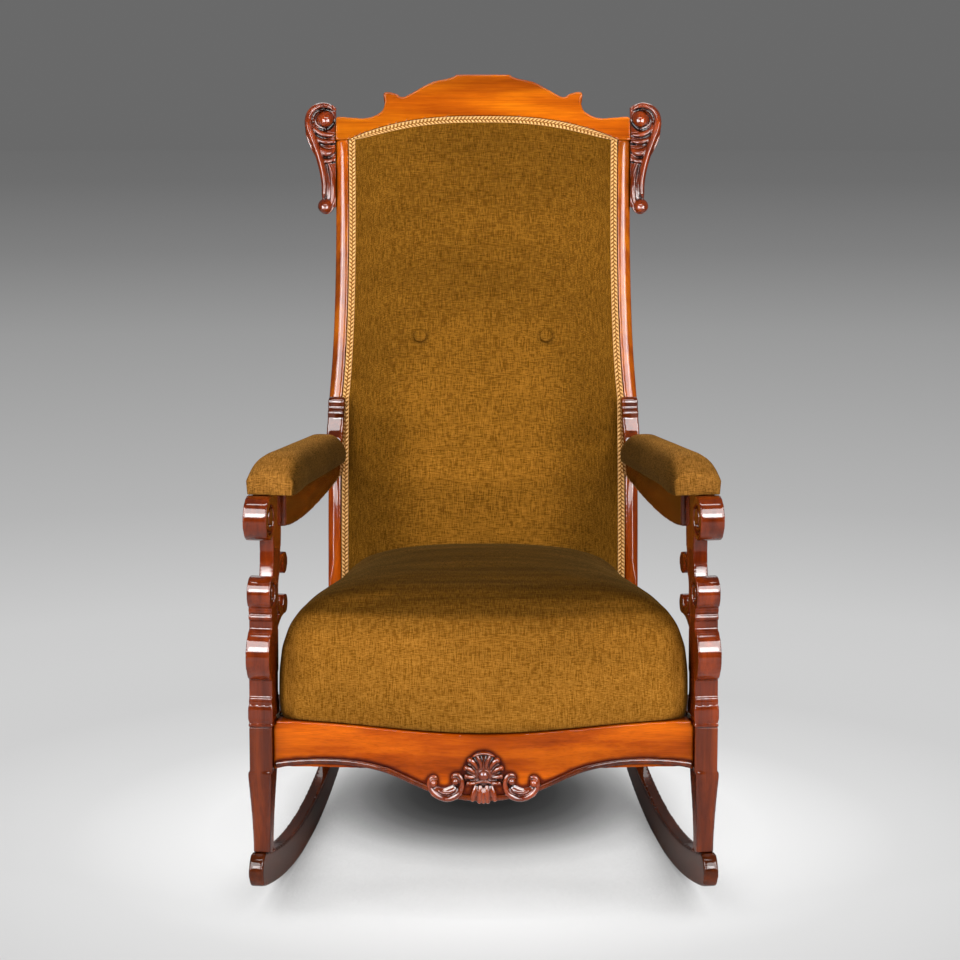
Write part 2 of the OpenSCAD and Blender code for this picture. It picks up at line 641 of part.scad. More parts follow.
// Carving on the front rail: a flat-backed bead follows the apron's edge
bead_sides = 7;
bead_line = [for (i = [1 : len(apron_line) - 2]) apron_line[i] + [0, bead_radius]];
module apron_bead() color(dark_walnut) in_frame() through_rings([for (i = [0 : len(bead_line) - 1])
  let (p = bead_line[i], n = side_of(bead_line, i)) [for (j = [0 : bead_sides])
    let (a = 180 * j / bead_sides, x = p[0] + n[0] * bead_radius * cos(a))
    [x, rail_face(x) - joint_play - bead_radius * sin(a), p[1] + n[1] * bead_radius * cos(a)]]]);

// The carvings' backs are cut to the rail's face and to the bead
apron_foot = rail_bottom - apron_drop;
carving_front = rail_setback - front_bow - carving_relief;
scroll_steps = 24;
scroll_width = apron_scroll_radius * 0.42;
eye_radius = apron_scroll_radius * 0.36;
curl_radius = apron_scroll_radius * 0.72;
module bead_groove() let (line = bead_line, r = bead_radius + joint_play)
  slab(carving_front, rail_setback) polygon(ribbon(line, [for (q = line) 2 * r]));
module on_apron() difference() {
  children();
  rail_prism(rail_thickness, apron_foot - apron_drop, rail_top + apron_drop);
  bead_groove();
}
module relief(share) slab(carving_front + carving_relief * (1 - share), rail_setback) children();
// A C-scroll: two curls that turn towards each other over a thick belly
c_near = [shell_radius + apron_scroll_radius, apron_foot + apron_scroll_radius * 1.75];
c_far = c_near + [apron_scroll_radius * 1.8, apron_scroll_radius * 0.1];
c_belly = bezier_line([c_near - [curl_radius, 0], c_near - [curl_radius, curl_radius * 1.7],
  c_far + [curl_radius, -curl_radius * 1.7], c_far + [curl_radius, 0]], scroll_steps);
module curl(centre, a0, a1) polygon(ribbon(spiral(centre, curl_radius, eye_radius, a0, a1,
  scroll_steps), tapered(scroll_steps, scroll_width * 0.7, scroll_width * 0.4)));
module apron_scroll() color(dark_walnut) on_apron() {
  relief(1) {
    translate(c_near) circle(r = eye_radius);
    translate(c_far) circle(r = eye_radius);
  }
  relief(0.8) {
    polygon(ribbon(c_belly,
      [for (i = [0 : scroll_steps]) scroll_width * (0.7 + 0.9 * sin(180 * i / scroll_steps))]));
    curl(c_near, 180, -40);
    curl(c_far, 0, 220);
  }
  relief(0.4) polygon([c_near + [0, eye_radius], c_near - [0, curl_radius],
    c_far - [0, curl_radius], c_far + [0, eye_radius]]);
}
module apron_scroll_left() in_frame() left_of() apron_scroll();
module apron_scroll_right() in_frame() apron_scroll();

// A shell over a plain tongue, between the two scrolls
shell_lobes = 7;
shell_spread = 240;
shell_centre = [0, apron_foot + shell_radius * 2.9];
lobe_radius = shell_radius * 0.34;
tongue_top = shell_centre[1] - shell_radius * 0.8;
tongue_half = bezier_line([[0, tongue_top], [shell_radius * 1.2, tongue_top],
  [shell_radius, apron_foot + bead_radius], [0, apron_foot + bead_radius]], leg_steps);
module apron_shell() color(dark_walnut) in_frame() on_apron() difference() {
  union() {
    relief(0.7) for (i = [0 : shell_lobes - 1])
      let (a = 90 + shell_spread * (i / (shell_lobes - 1) - 1 / 2))
      translate(shell_centre + shell_radius * [cos(a), sin(a)]) circle(r = lobe_radius);
    relief(0.55) translate(shell_centre) circle(r = shell_radius);
    relief(1) translate(shell_centre) circle(r = shell_radius / 2);
    relief(0.8) polygon(closed_half(tongue_half));
  }
  both() scroll_room();
}
// The shell leaves room for the scrolls beside it
module scroll_room() slab(carving_front - overrun, rail_setback) polygon([
  c_near - [curl_radius + scroll_width, 0] + [0, curl_radius + scroll_width],
  c_near - [curl_radius + scroll_width, 0] - [0, apron_drop],
  c_far - [0, apron_drop], c_far + [0, apron_drop]]);

// Crest rail: half its outline as shares of half its width and of its height
crest_top_shares = [[0, 1], [0.186, 1]];
crest_sweep_shares = [[0.199, 0.965], [0.262, 0.927], [0.344, 0.888], [0.426, 0.794],
  [0.5, 0.698], [0.55, 0.654], [0.588, 0.7], [0.632, 0.73], [0.664, 0.732], [0.679, 0.69],
  [0.668, 0.59], [0.682, 0.458], [0.72, 0.392], [0.768, 0.342]];
crest_end_shares = [[0.82, 0.33], [0.98, 0.356], [1, 0.335]];
crest_lip = post_width - post_show;
crest_scale = [crest_half, crest_height];
function crest_edge(x) = max(0, arch(held(x / opening_side(post_top, 0), 0, 1)) - crest_lip);
crest_half_outline = concat(
  [for (i = [0 : arch_steps]) let (x = (crest_half - post_width) * i / arch_steps)
    [x, crest_edge(x)]],
  [[crest_half, 0]], reversed(concat(scaled(crest_top_shares, crest_scale),
    scaled(smooth(crest_sweep_shares, 4), crest_scale), scaled(crest_end_shares, crest_scale))));
module crest_rail() color(walnut) in_frame() difference() {
  crest_frame() slab(0, post_depth * cos(crest_tilt)) polygon(closed_half(crest_half_outline));
  rebate_cut();
  both() crest_tenon(joint_play);
}

// Carved ears outside the posts: a hooded scroll that tapers to a small bulb
ear_top = post_top + ear_radius * 2.02;
ear_centre = [crest_half + ear_radius * 0.7, ear_top - ear_radius];
bulb_radius = ear_radius * 0.42;
bulb_centre = [crest_half + ear_radius * 0.46, ear_top - ear_height + bulb_radius];
ear_set = post_depth / 10;
ear_edge_shares = [[1, 0], [0.97, -0.69], [0.774, -1.278], [0.507, -1.763], [0.226, -2.256],
  [0.02, -2.685], [-0.1, -3.2], [-0.16, -3.6]];
ear_edge = smooth(concat([for (q = ear_edge_shares) ear_centre + ear_radius * q],
  [bulb_centre + bulb_radius * [0.45, 0.75], bulb_centre + bulb_radius * [0.3, 0]]), 3);
module ear_outline() {
  translate(ear_centre) circle(r = ear_radius);
  translate(bulb_centre) circle(r = bulb_radius);
  polygon(concat(ear_edge, [[post_inner(post_top), bulb_centre[1] - bulb_radius / 2],
    [post_inner(post_top), ear_centre[1]]]));
}
ear_groove = ear_radius * 0.16;
module ear_grooves() {
  polygon(ribbon(spiral(ear_centre, ear_radius * 0.62, ear_radius * 0.5, 100, 300, scroll_steps),
    tapered(scroll_steps, ear_groove, ear_groove)));
  for (k = [1 : 3]) polygon(ribbon(bezier_line([ear_centre + ear_radius * [-0.75, -0.75 - 0.5 * k],
    ear_centre + ear_radius * [0.1, -0.9 - 0.5 * k],
    ear_centre + ear_radius * [0.5 - 0.1 * k, -0.6 - 0.5 * k],
    ear_centre + ear_radius * [0.6 - 0.15 * k, -0.5 - 0.4 * k]], leg_steps),
    tapered(leg_steps, ear_groove / 2, ear_groove)));
}
module ear_scroll() color(dark_walnut) difference() {
  union() {
    intersection() {
      slab(0, everywhere) ear_outline();
      layer(ear_set, ear_set + ear_thickness, post_top - ear_height, post_top + crest_height,
        edge_steps);
    }
    translate([ear_centre[0], stile_y(ear_centre[1]) + ear_set + ear_radius / 5, ear_centre[1]])
      sphere(r = ear_radius * 0.46);
    translate([bulb_centre[0], stile_y(bulb_centre[1]) + ear_set + bulb_radius / 3, bulb_centre[1]])
      sphere(r = bulb_radius * 0.8);
  }
  intersection() {
    slab(0, everywhere) ear_grooves();
    layer(-overrun, ear_set + ear_groove, post_top - ear_height, post_top + crest_height, leg_steps);
  }
  slab(0, everywhere) polygon(concat([for (z = post_stations) if (z > knee) [post_outer(z), z]],
    [[0, post_top + crest_height], [0, knee]]));
}
module ear_scroll_left() in_frame() left_of() ear_scroll();
module ear_scroll_right() in_frame() ear_scroll();

function on_stile(z) = stile_y(z) / cos(arm_toe);
module arm_frame() translate([leg_spacing / 2, 0, 0]) rotate([0, 0, arm_toe]) children();
module support_frame() arm_frame() translate([0, 0, rail_top]) rotate([0, -support_lean, 0])
  children();

// Arm supports: turned-over scrolls on the front of a shaped strap
strap_rear = leg_depth * 2;
support_size = [strap_rear, arm_rise];
strap_front_shares = [[0.02, 0], [0.02, 0.06], [0.2, 0.3], [0.3, 0.5], [0.42, 0.64], [0.46, 0.71],
  [0.44, 0.8], [0.27, 0.88], [0, 0.93], [0, 1]];
strap_back_shares = [[1, 1], [1, 0.8], [0.93, 0.7], [0.74, 0.58], [0.58, 0.46], [0.5, 0.34],
  [0.46, 0.2], [0.46, 0.06], [0.46, 0]];
strap_front = smooth(scaled(strap_front_shares, support_size), 3);
strap_back = smooth(scaled(strap_back_shares, support_size), 3);
strap_outline = concat(reversed(strap_front), reversed(strap_back));
column_shares = [[0.025, 0.04], [0.025, 0.2], [0.14, 0.3], [0.05, 0.42], [0.05, 0.52], [0.14, 0.58],
  [0.42, 0.6], [0.4, 0.5], [0.4, 0.3], [0.44, 0.2], [0.44, 0.04]];
swell_centre = [swell_radius - scroll_reach * 0.6, arm_rise * 0.312];
mid_centre = [mid_scroll_radius - scroll_reach / 3, arm_rise * 0.578];
top_centre = [top_scroll_radius - scroll_reach, arm_rise - top_scroll_radius];
reed_radius = mid_scroll_radius / 5;
reed_shares = [0.475, 0.505];
// Each step of the collar: where it starts and ends, and how proud it is
collar_shares = [[0, 0.1, 0.6], [0.17, 0.74, 0.5], [0.22, 0.69, 0.8], [0.29, 0.62, 1],
  [0.82, 0.88, 0.4], [0.93, 1, 0.2]];
groove_width = scroll_thickness / 6;
groove_depth = (scroll_thickness - strap_thickness) / 3;
support_dowel_radius = leg_width / 6;
support_dowel_length = rail_top - rail_tenon_top - tenon_shoulder;
module support_tenon(grow) translate([leg_spacing / 2, support_y,
  rail_top - support_dowel_length - grow])
  cylinder(r = support_dowel_radius + grow, h = support_dowel_length + collar_height);
module arm_dowel(grow) arm_frame() translate([lean_shift, strap_rear - tenon_length - grow, arm_middle])
  rotate([-90, 0, 0]) cylinder(r = support_dowel_radius + grow, h = 2 * tenon_length);
module eye_groove(centre, radius, side) translate([side * (scroll_thickness / 2 - groove_depth / 2), 0, 0])
  board(groove_depth + joint_play) polygon(ribbon(spiral(centre, radius * 0.72, radius * 0.34,
    -150, 290, scroll_steps), tapered(scroll_steps, groove_width, groove_width * 0.6)));
module arm_support() color(dark_walnut) difference() {
  union() {
    support_frame() difference() {
      union() {
        board(strap_thickness) polygon(strap_outline);
        board(scroll_thickness) {
          polygon(scaled(column_shares, support_size));
          translate(swell_centre) circle(r = swell_radius);
          translate(mid_centre) circle(r = mid_scroll_radius);
          translate(top_centre) circle(r = top_scroll_radius);
          for (s = reed_shares) translate([reed_radius, arm_rise * s]) circle(r = reed_radius);
        }
        board(leg_width) translate([0, -overrun]) square([support_back, collar_height + overrun]);
        for (q = collar_shares) board(leg_width + collar_proud * q[2])
          translate([-collar_proud * q[2] / 2, q[0] * collar_height])
            square([support_back + collar_proud * q[2] / 2, (q[1] - q[0]) * collar_height]);
      }
      board(scroll_thickness + overrun) translate([support_back, swell_centre[1] - swell_radius])
        square([swell_radius, 2 * swell_radius]);
      for (side = [-1, 1]) {
        eye_groove(top_centre, top_scroll_radius, side);
        eye_groove(mid_centre, mid_scroll_radius, side);
      }
    }
    support_tenon(0);
  }
  difference() {
    translate([0, -everywhere / 2, rail_top - everywhere]) cube(everywhere);
    support_tenon(0);
  }
  arm_dowel(joint_play);
}
// The collar's room in the front rail's raised ends
module collar_room() support_frame() board(leg_width + collar_proud + 2 * joint_play)
  translate([-overrun, 0]) square([support_back + overrun + joint_play, collar_height]);
module arm_support_left() in_frame() left_of() arm_support();
module arm_support_right() in_frame() arm_support();

// A C-scroll and a leaf behind each support's strap
small_top = [strap_rear + small_scroll_radius * 2.1, arm_rise * 0.64];
small_foot = [strap_rear + small_scroll_radius * 2.3, arm_rise * 0.455];
leaf_root = [support_back * 0.97, arm_rise * 0.25];
bracket_thickness = strap_thickness * 0.9;
bracket_curve = bezier_line([small_top + small_scroll_radius * [0, 0.55],
  small_top + small_scroll_radius * [-4.1, 1], small_foot + small_scroll_radius * [-4.85, -1],
  small_foot - small_scroll_radius * [0, 0.45]], scroll_steps);
leaf_curve = bezier_line([small_foot - small_scroll_radius * [0, 0.3],
  small_foot - small_scroll_radius * [2.6, 0.6], leaf_root + small_scroll_radius * [1.4, 2.4],
  leaf_root], scroll_steps);
module support_bracket() color(dark_walnut) support_frame() difference() {
  union() {
    board(bracket_thickness) translate(small_top) circle(r = small_scroll_radius);
    board(bracket_thickness) translate(small_foot) circle(r = small_scroll_radius * 0.9);
    board(bracket_thickness * 0.9) polygon(ribbon(bracket_curve,
      tapered(scroll_steps, small_scroll_radius * 0.8, small_scroll_radius * 0.8)));
    board(bracket_thickness * 0.8) polygon(ribbon(leaf_curve,
      tapered(scroll_steps, small_scroll_radius * 1.1, small_scroll_radius * 0.3)));
  }
  board(scroll_thickness + overrun) polygon(strap_outline);
  board(scroll_thickness + overrun) polygon(scaled(column_shares, support_size));
  board(2 * scroll_thickness) square([support_back, swell_centre[1] + swell_radius / 2]);
}
module support_bracket_left() in_frame() left_of() support_bracket();
module support_bracket_right() in_frame() support_bracket();

// Arms: bowed underneath, with rear ends that turn up before the posts
arm_fall = arm_height * 0.36;
arm_pad_end = seat_depth - tail_rise;
tail_depth = arm_tail_width;
tail_top = arm_top + tail_rise;
roll_radius = tail_depth * 0.36;
function arm_top_z(y) = arm_top - arm_fall * held((y - strap_rear) / (arm_pad_end - strap_rear), 0, 1);
arm_underside = bezier_line([[on_stile(arm_middle) + post_depth, arm_top - arm_height * 0.86],
  [on_stile(arm_middle) - tail_rise, arm_top - arm_height],
  [arm_pad_end / 2, arm_top - arm_height * 1.38], [strap_rear, arm_top - arm_height]], leg_steps);
arm_tail_curve = bezier_line([[arm_pad_end, arm_top_z(arm_pad_end)],
  [on_stile(arm_top) - tail_depth, arm_top_z(arm_pad_end)],
  [on_stile(arm_top) - tail_depth, arm_top],
  [on_stile(tail_top - roll_radius) - tail_depth * 0.8, tail_top - roll_radius]], leg_steps);
module behind_stile() layer(0, everywhere, rail_top, post_top, 2 * edge_steps);
module arm() color(walnut) difference() {
  union() {
    difference() {
      arm_frame() translate([lean_shift, 0, 0]) intersection() {
        board(arm_width + overrun) {
          polygon(concat(arm_underside, [[strap_rear, arm_top]], arm_tail_curve,
            [[on_stile(tail_top), tail_top - roll_radius / 2],
            [on_stile(tail_top) + post_depth, tail_top - roll_radius / 2]]));
          translate([on_stile(tail_top - roll_radius) - tail_depth * 0.55, tail_top - roll_radius])
            circle(r = roll_radius);
          translate([on_stile(tail_top - 3 * roll_radius) - tail_depth * 0.7,
            tail_top - 2.7 * roll_radius]) circle(r = roll_radius * 0.7);
        }
        linear_extrude(everywhere) polygon([[-arm_width / 2, strap_rear], [arm_width / 2, strap_rear],
          [arm_tail_width / 2, on_stile(arm_middle)], [arm_tail_width / 2, on_stile(tail_top)],
          [-arm_tail_width / 2, on_stile(tail_top)], [-arm_tail_width / 2, on_stile(arm_middle)]]);
      }
      behind_stile();
      intersection() {
        gimp_layer(joint_play);
        slab(0, everywhere) polygon(opening(pad_foot, -joint_play));
      }
    }
    arm_dowel(0);
  }
  arm_screw(joint_play);
}
module arm_left() in_frame() left_of() arm();
module arm_right() in_frame() arm();
arm_screw_radius = screw_radius * 1.2;
arm_screw_sink = post_depth / 4;
module arm_screw(grow) arm_frame() translate([lean_shift, on_stile(arm_middle) + post_depth, arm_middle])
  rotate([90, 0, 0]) {
    translate([0, 0, arm_screw_sink]) cylinder(r = arm_screw_radius + grow,
      h = post_depth + tail_depth - arm_screw_sink);
    translate([0, 0, arm_screw_sink]) cylinder(r1 = 2 * arm_screw_radius + grow,
      r2 = arm_screw_radius + grow, h = arm_screw_radius);
    if (grow > 0) translate([0, 0, -post_depth]) cylinder(r = 2 * arm_screw_radius + grow,
      h = post_depth + arm_screw_sink);
  }
module arm_screws() color(steel) in_frame() both() arm_screw(0);

// Arm pads: domed, square at the front, a little drawn in along their feet
pad_rings = 22;
pad_sides = 21;
pad_inset = (pad_width - arm_width) * 0.41;
pad_front = -joint_play;
pad_taper_share = 0.78;
pad_spring = 20;
function pad_arch(t) = (0.56 + 0.44 * sin(90 * held(t * 7, 0, 1)))
  * (t > 0.86 ? sqrt(max(0, 1 - pow((t - 0.86) / 0.15, 2))) : 1);
function pad_ring(t) = let (y = pad_front + (arm_pad_end - pad_front) * t,
  w = pad_width / 2 * (1 - (1 - pad_taper_share) * t) * (0.94 + 0.06 * sin(90 * held(t * 9, 0, 1))),
  c = (pad_crown - cloth_gap) * pad_arch(t), foot = arm_top_z(y) + cloth_gap)
  [for (j = [0 : pad_sides]) let (a = -pad_spring + (180 + 2 * pad_spring) * j / pad_sides,
    cx = cos(a), up = (sin(a) + sin(pad_spring)) / (1 + sin(pad_spring)))
    [-pad_inset * (1 - t / 2) + w * sign(cx) * pow(abs(cx), 0.65), y,
      foot + c * pow(max(0, up), 0.8)]];
module arm_pad() color(velvet) arm_frame() translate([lean_shift, 0, 0])
  through_rings([for (i = [0 : pad_rings]) pad_ring(i / pad_rings)]);
module arm_pad_left() in_frame() left_of() arm_pad();
module arm_pad_right() in_frame() arm_pad();

// Seat cushion: rings from the rails up to the crown, over a hollow that takes the springs
seat_front = rail_setback - seat_overhang;
seat_rear = seat_depth - back_crown - cloth_gap;
seat_side_gap = side_inset * 2;
seat_half_front = rail_half - seat_side_gap;
seat_half_rear = side_inner(seat_rear) + side_inset;
seat_middle = (seat_front + seat_rear) / 2;
seat_half_depth = (seat_rear - seat_front) / 2;
seat_rise_shares = [[0.8, 0], [0.975, 0], [0.99, 0.03], [1, 0.16], [0.99, 0.36], [0.965, 0.55], [0.92, 0.72],
  [0.86, 0.82], [0.75, 0.9], [0.58, 0.955], [0.35, 0.985], [0.12, 1]];
// The plan is a square drawn out to the seat's half sizes, with its corners rounded by a power
seat_points = 48;
seat_power = 10;
function square_at(t) = let (q = floor(4 * t), s = 2 * (4 * t - q) - 1)
  q == 0 ? [1, s] : q == 1 ? [-s, 1] : q == 2 ? [-1, -s] : [s, -1];
function rounded(p) = p / pow(pow(abs(p[0]), seat_power) + pow(abs(p[1]), seat_power),
  1 / seat_power);
function seat_half(y) = seat_half_front + (seat_half_rear - seat_half_front)
  * (y - seat_front) / (seat_rear - seat_front);
function seat_ring(s, rise) = [for (j = [0 : seat_points - 1])
  let (p = rounded(square_at(j / seat_points)), y = seat_middle + seat_half_depth * p[1] * s,
  x = seat_half(y) * p[0] * s, front = held(-1.2 * p[1], 0, 1))
  [x, y - front_bow * bump(x / rail_half) * front * s,
    rail_top + cloth_gap * 2 + (rail_edge(x) - rail_top) * front * (1 - rise)
      + (seat_crown_height - 2 * cloth_gap) * rise]];
spring_foot = rail_bottom + joint_play;
spring_top = spring_foot + spring_height;
hessian_thickness = 1.2;
spring_rows_share = 0.52;
spring_reach = spring_radius + wire_radius;
well_half = seat_half_rear * spring_rows_share + spring_reach;
spring_row = seat_half_depth * spring_rows_share * 0.85;
well_depth = spring_row + spring_reach;
well_gap = side_inset;
module seat_cushion() color(velvet) in_frame() difference() {
  through_rings([for (q = seat_rise_shares) seat_ring(q[0], q[1])]);
  translate([-well_half - well_gap, seat_middle - well_depth - well_gap, rail_bottom])
    cube([2 * (well_half + well_gap), 2 * (well_depth + well_gap),
      spring_top + hessian_thickness + cloth_gap - rail_bottom]);
}
module seat_hessian() color(jute) in_frame()
  translate([-well_half, seat_middle - well_depth, spring_top + joint_play / 2])
    cube([2 * well_half, 2 * well_depth, hessian_thickness]);

// Seat springs: five waisted coils of wire
spring_turns = 4.5;
rings_per_turn = 8;
wire_sides = 6;
waist_share = 0.6;
spring_rings = spring_turns * rings_per_turn;
spring_rise = spring_height - 2 * wire_radius;
function coil(t) = let (r = spring_radius * (waist_share + (1 - waist_share) * pow(2 * t - 1, 2)),
  a = 360 * spring_turns * t) [r * cos(a), r * sin(a), wire_radius + spring_rise * t];
function wire_ring(i) = let (t = i / spring_rings, p = coil(t), a = 360 * spring_turns * t)
  [for (k = [0 : wire_sides - 1]) let (b = 360 * k / wire_sides)
    p + wire_radius * [cos(b) * cos(a), cos(b) * sin(a), sin(b)]];
spring_places = [[0, 0], [1, 1], [1, -1], [-1, 1], [-1, -1]];
spring_gap = min([for (i = [0 : spring_rings - rings_per_turn])
  norm(coil((i + rings_per_turn) / spring_rings) - coil(i / spring_rings))]) - 2 * wire_radius;
echo(least_gap_between_a_springs_turns = spring_gap);
module seat_springs() color(steel) in_frame() for (q = spring_places)
  translate([q[0] * (well_half - spring_reach), seat_middle + q[1] * spring_row, spring_foot])
    through_rings([for (i = [0 : spring_rings]) wire_ring(i)]);

// Seat webbing: straps woven over and under each other below the rails
strap_level = strap_gauge + joint_play;
length_straps = 5;
cross_straps = 5;
length_pitch = (seat_half_rear * 2 - strap_width) / length_straps;
cross_start = leg_depth + strap_width * 0.75;
cross_pitch = (seat_depth - strap_width * 0.75 - cross_start) / (cross_straps - 1);
function woven(ends, middles, parity) = concat([[ends[0], 0]],
  [for (j = [0 : len(middles) - 1], e = [-1, 1]) [middles[j] + e * (strap_width / 2 + side_inset),
    (j + parity) % 2 == 0 ? 0 : -strap_level]], [[ends[1], 0]]);
module woven_strap(line, z) board(strap_width) polygon(concat(shifted(line, [0, z]),
  reversed(shifted(line, [0, z - strap_gauge]))));
length_places = [for (k = [0 : length_straps - 1]) (k - (length_straps - 1) / 2) * length_pitch];
cross_places = [for (k = [0 : cross_straps - 1]) cross_start + cross_pitch * k];
module seat_webbing() color(jute) in_frame() {
  for (k = [0 : length_straps - 1]) let (x = length_places[k])
    translate([x, 0, 0]) woven_strap(woven([rail_face(abs(x) + strap_width / 2)
      + apron_thickness + side_inset, back_rail_y + rail_thickness - side_inset],
      cross_places, k), rail_bottom);
  for (k = [0 : cross_straps - 1]) let (y = cross_places[k],
    half = side_inner(y + strap_width / 2) + rail_thickness * 3 / 4)
    translate([0, y, 0]) rotate([0, 0, -90]) woven_strap(woven([-half, half], length_places, k + 1),
      rail_bottom);
}

// Back: webbing on the rebate's floor, hessian over it, and a sprung-looking pad in front
back_strap_rows = 6;
back_strap_columns = 3;
back_strap_z = [for (k = [0 : back_strap_rows - 1]) knee + strap_width
  + (post_top - knee - 2 * strap_width) * k / (back_strap_rows - 1)];
module back_webbing() color(jute) in_frame() {
  for (z = back_strap_z) intersection() {
    layer(rebate - strap_gauge, rebate, z - strap_width / 2, z + strap_width / 2, 4);
    slab(0, everywhere) polygon(both_sides([for (e = [-1, 0, 1])
      [opening_side(z + e * strap_width / 2, side_inset), z + e * strap_width / 2]]));
  }
  for (k = [0 : back_strap_columns - 1]) intersection() {
    layer(rebate - 2 * strap_gauge, rebate - strap_gauge, lower_rail_z + tenon_shoulder,
      post_top + arch_rise * cos(crest_tilt) - tenon_shoulder - side_inset, edge_steps);
    translate([(k - (back_strap_columns - 1) / 2) * 2 * strap_width - strap_width / 2, 0, 0])
      cube([strap_width, everywhere, everywhere]);
  }
}
hessian_back = rebate - 2 * strap_gauge - joint_play;
// Room for the pad's flat facets between the posts' curved rebate and the braid
facet_room = 1;
pad_back = hessian_back - hessian_thickness - facet_room;
module back_hessian() color(jute) in_frame() intersection() {
  layer(hessian_back - hessian_thickness, hessian_back, rebate_foot + side_inset,
    post_top + crest_height, edge_steps);
  slab(0, everywhere) polygon(opening(rebate_foot + side_inset, side_inset));
}
// The pad's surface is a grid whose rows and columns crowd towards its edges
pad_rim = gimp_width + facet_room;
pad_steps_in = [0, pad_rim, gimp_width + 2 * back_edge, gimp_width * 3];
pad_foot = rebate_foot + side_inset;
pad_span = opening_side(button_height, cloth_gap);
pad_u = concat([for (d = pad_steps_in) 1 - d / pad_span],
  [(1 + button_spacing / 2 / pad_span) / 2, button_spacing / 2 / pad_span,
  button_spacing / 4 / pad_span, 0]);
pad_columns = concat([for (u = pad_u) -u], without_first(reversed(pad_u)));
pad_low_rows = 7;
pad_high_rows = 5;
pad_top_row = post_top - gimp_width * 3;
pad_rows = concat([for (d = pad_steps_in) [pad_foot + d, 0]],
  [for (k = [1 : pad_low_rows]) [pad_foot + gimp_width * 3
    + (button_height - pad_foot - gimp_width * 3) * k / pad_low_rows, 0]],
  [for (k = [1 : pad_high_rows]) [button_height + (pad_top_row - button_height)
    * k / pad_high_rows, k == pad_high_rows ? 0.9 : 0.15 * k]],
  [for (d = reversed(pad_steps_in)) if (d < gimp_width * 3) [post_top - d, 1]]);
function eased_in(d, reach) = 1 - pow(1 - held(d / reach, 0, 1), 2);
function pad_swell(x, z, side, foot, top) = let (
  d = min(side - abs(x), min(z - foot, top - z)) - pad_rim,
  tuft = abs(abs(x) - button_spacing / 2) + abs(z - button_height) < button_radius ? 1 : 0)
  2 * cloth_gap - back_edge * eased_in(d, back_edge)
    - (back_crown - back_edge) * eased_in(d, pad_span * 0.7) + tuft * back_edge;
function pad_point(u, row) = let (z0 = row[0], side = opening_side(z0, cloth_gap),
  lift = arch(min(1, abs(u))) * cos(crest_tilt) * row[1], z = z0 + lift - cloth_gap * row[1],
  top = post_top + arch(min(1, abs(u))) * cos(crest_tilt)) [u * side, z, side, top];
pad_front_grid = [for (r = pad_rows) [for (u = pad_columns) let (q = pad_point(u, r))
  [q[0], stile_y(q[1]) + pad_swell(q[0], q[1], q[2], pad_foot, q[3]), q[1]]]];
pad_back_grid = [for (r = pad_rows) [for (u = reversed(pad_columns)) let (q = pad_point(u, r))
  [q[0], stile_y(q[1]) + pad_back, q[1]]]];
module back_pad() color(velvet) in_frame() through_rings(
  [for (i = [0 : len(pad_rows) - 1]) concat(pad_front_grid[i], pad_back_grid[i])]);
module outside_back() color(velvet) in_frame() intersection() {
  layer(post_depth, post_depth + hessian_thickness, rail_top + side_inset,
    post_top + crest_height, edge_steps);
  slab(0, everywhere) polygon(opening(rail_top + side_inset, -crest_lip * 0.7));
}
module gimp_layer(grow) layer(-gimp_thickness - grow, 0, pad_foot, post_top + crest_height,
  2 * edge_steps);
module back_gimp() color(braid) in_frame() intersection() {
  gimp_layer(0);
  slab(0, everywhere) difference() {
    polygon(opening(pad_foot, 0));
    polygon(opening(pad_foot - overrun, gimp_width));
  }
}
button_tilt = atan2(stile_y(button_height + button_radius) - stile_y(button_height - button_radius),
  2 * button_radius);
button_thickness = button_radius * 0.6;
button_seat = pad_swell(button_spacing / 2, button_height, opening_side(button_height, cloth_gap),
  pad_foot, post_top) - back_edge * 0.38;
module back_button() color(velvet) translate([button_spacing / 2, stile_y(button_height)
  + button_seat, button_height]) rotate([90 - button_tilt, 0, 0]) rotate_extrude() {
  square([button_radius * 0.8, button_thickness]);
  intersection() {
    translate([button_radius - button_thickness / 2, button_thickness / 2])
      circle(r = button_thickness / 2);
    square(2 * button_radius);
  }
}
module back_button_left() in_frame() left_of() back_button();
module back_button_right() in_frame() back_button();

rocker_left();
rocker_right();
front_leg_left();
front_leg_right();
rocker_pegs();
back_post_left();
back_post_right();
front_rail();
side_rail_left();
side_rail_right();
back_seat_rail();
corner_blocks();
corner_screws();
apron_bead();
apron_shell();
apron_scroll_left();
apron_scroll_right();
lower_back_rail();
crest_rail();
ear_scroll_left();
ear_scroll_right();
arm_support_left();
arm_support_right();
support_bracket_left();
support_bracket_right();
arm_left();
arm_right();
arm_screws();
arm_pad_left();
arm_pad_right();
seat_cushion();
seat_hessian();
seat_springs();
seat_webbing();
back_pad();
back_hessian();
back_webbing();
outside_back();
back_gimp();
back_button_left();
back_button_right();
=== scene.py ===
# %% [markdown]
# A show-wood rocking armchair
#
# This lesson dresses the measured model of an old rocking armchair: polished wood, carving, and
# velvet over stuffing. The measured solids are loaded first, and everything here is placed by them.
# The model stands on the floor with its origin under its middle, it faces -Y, and +Z is up.

# %% Load the measured solids
import math

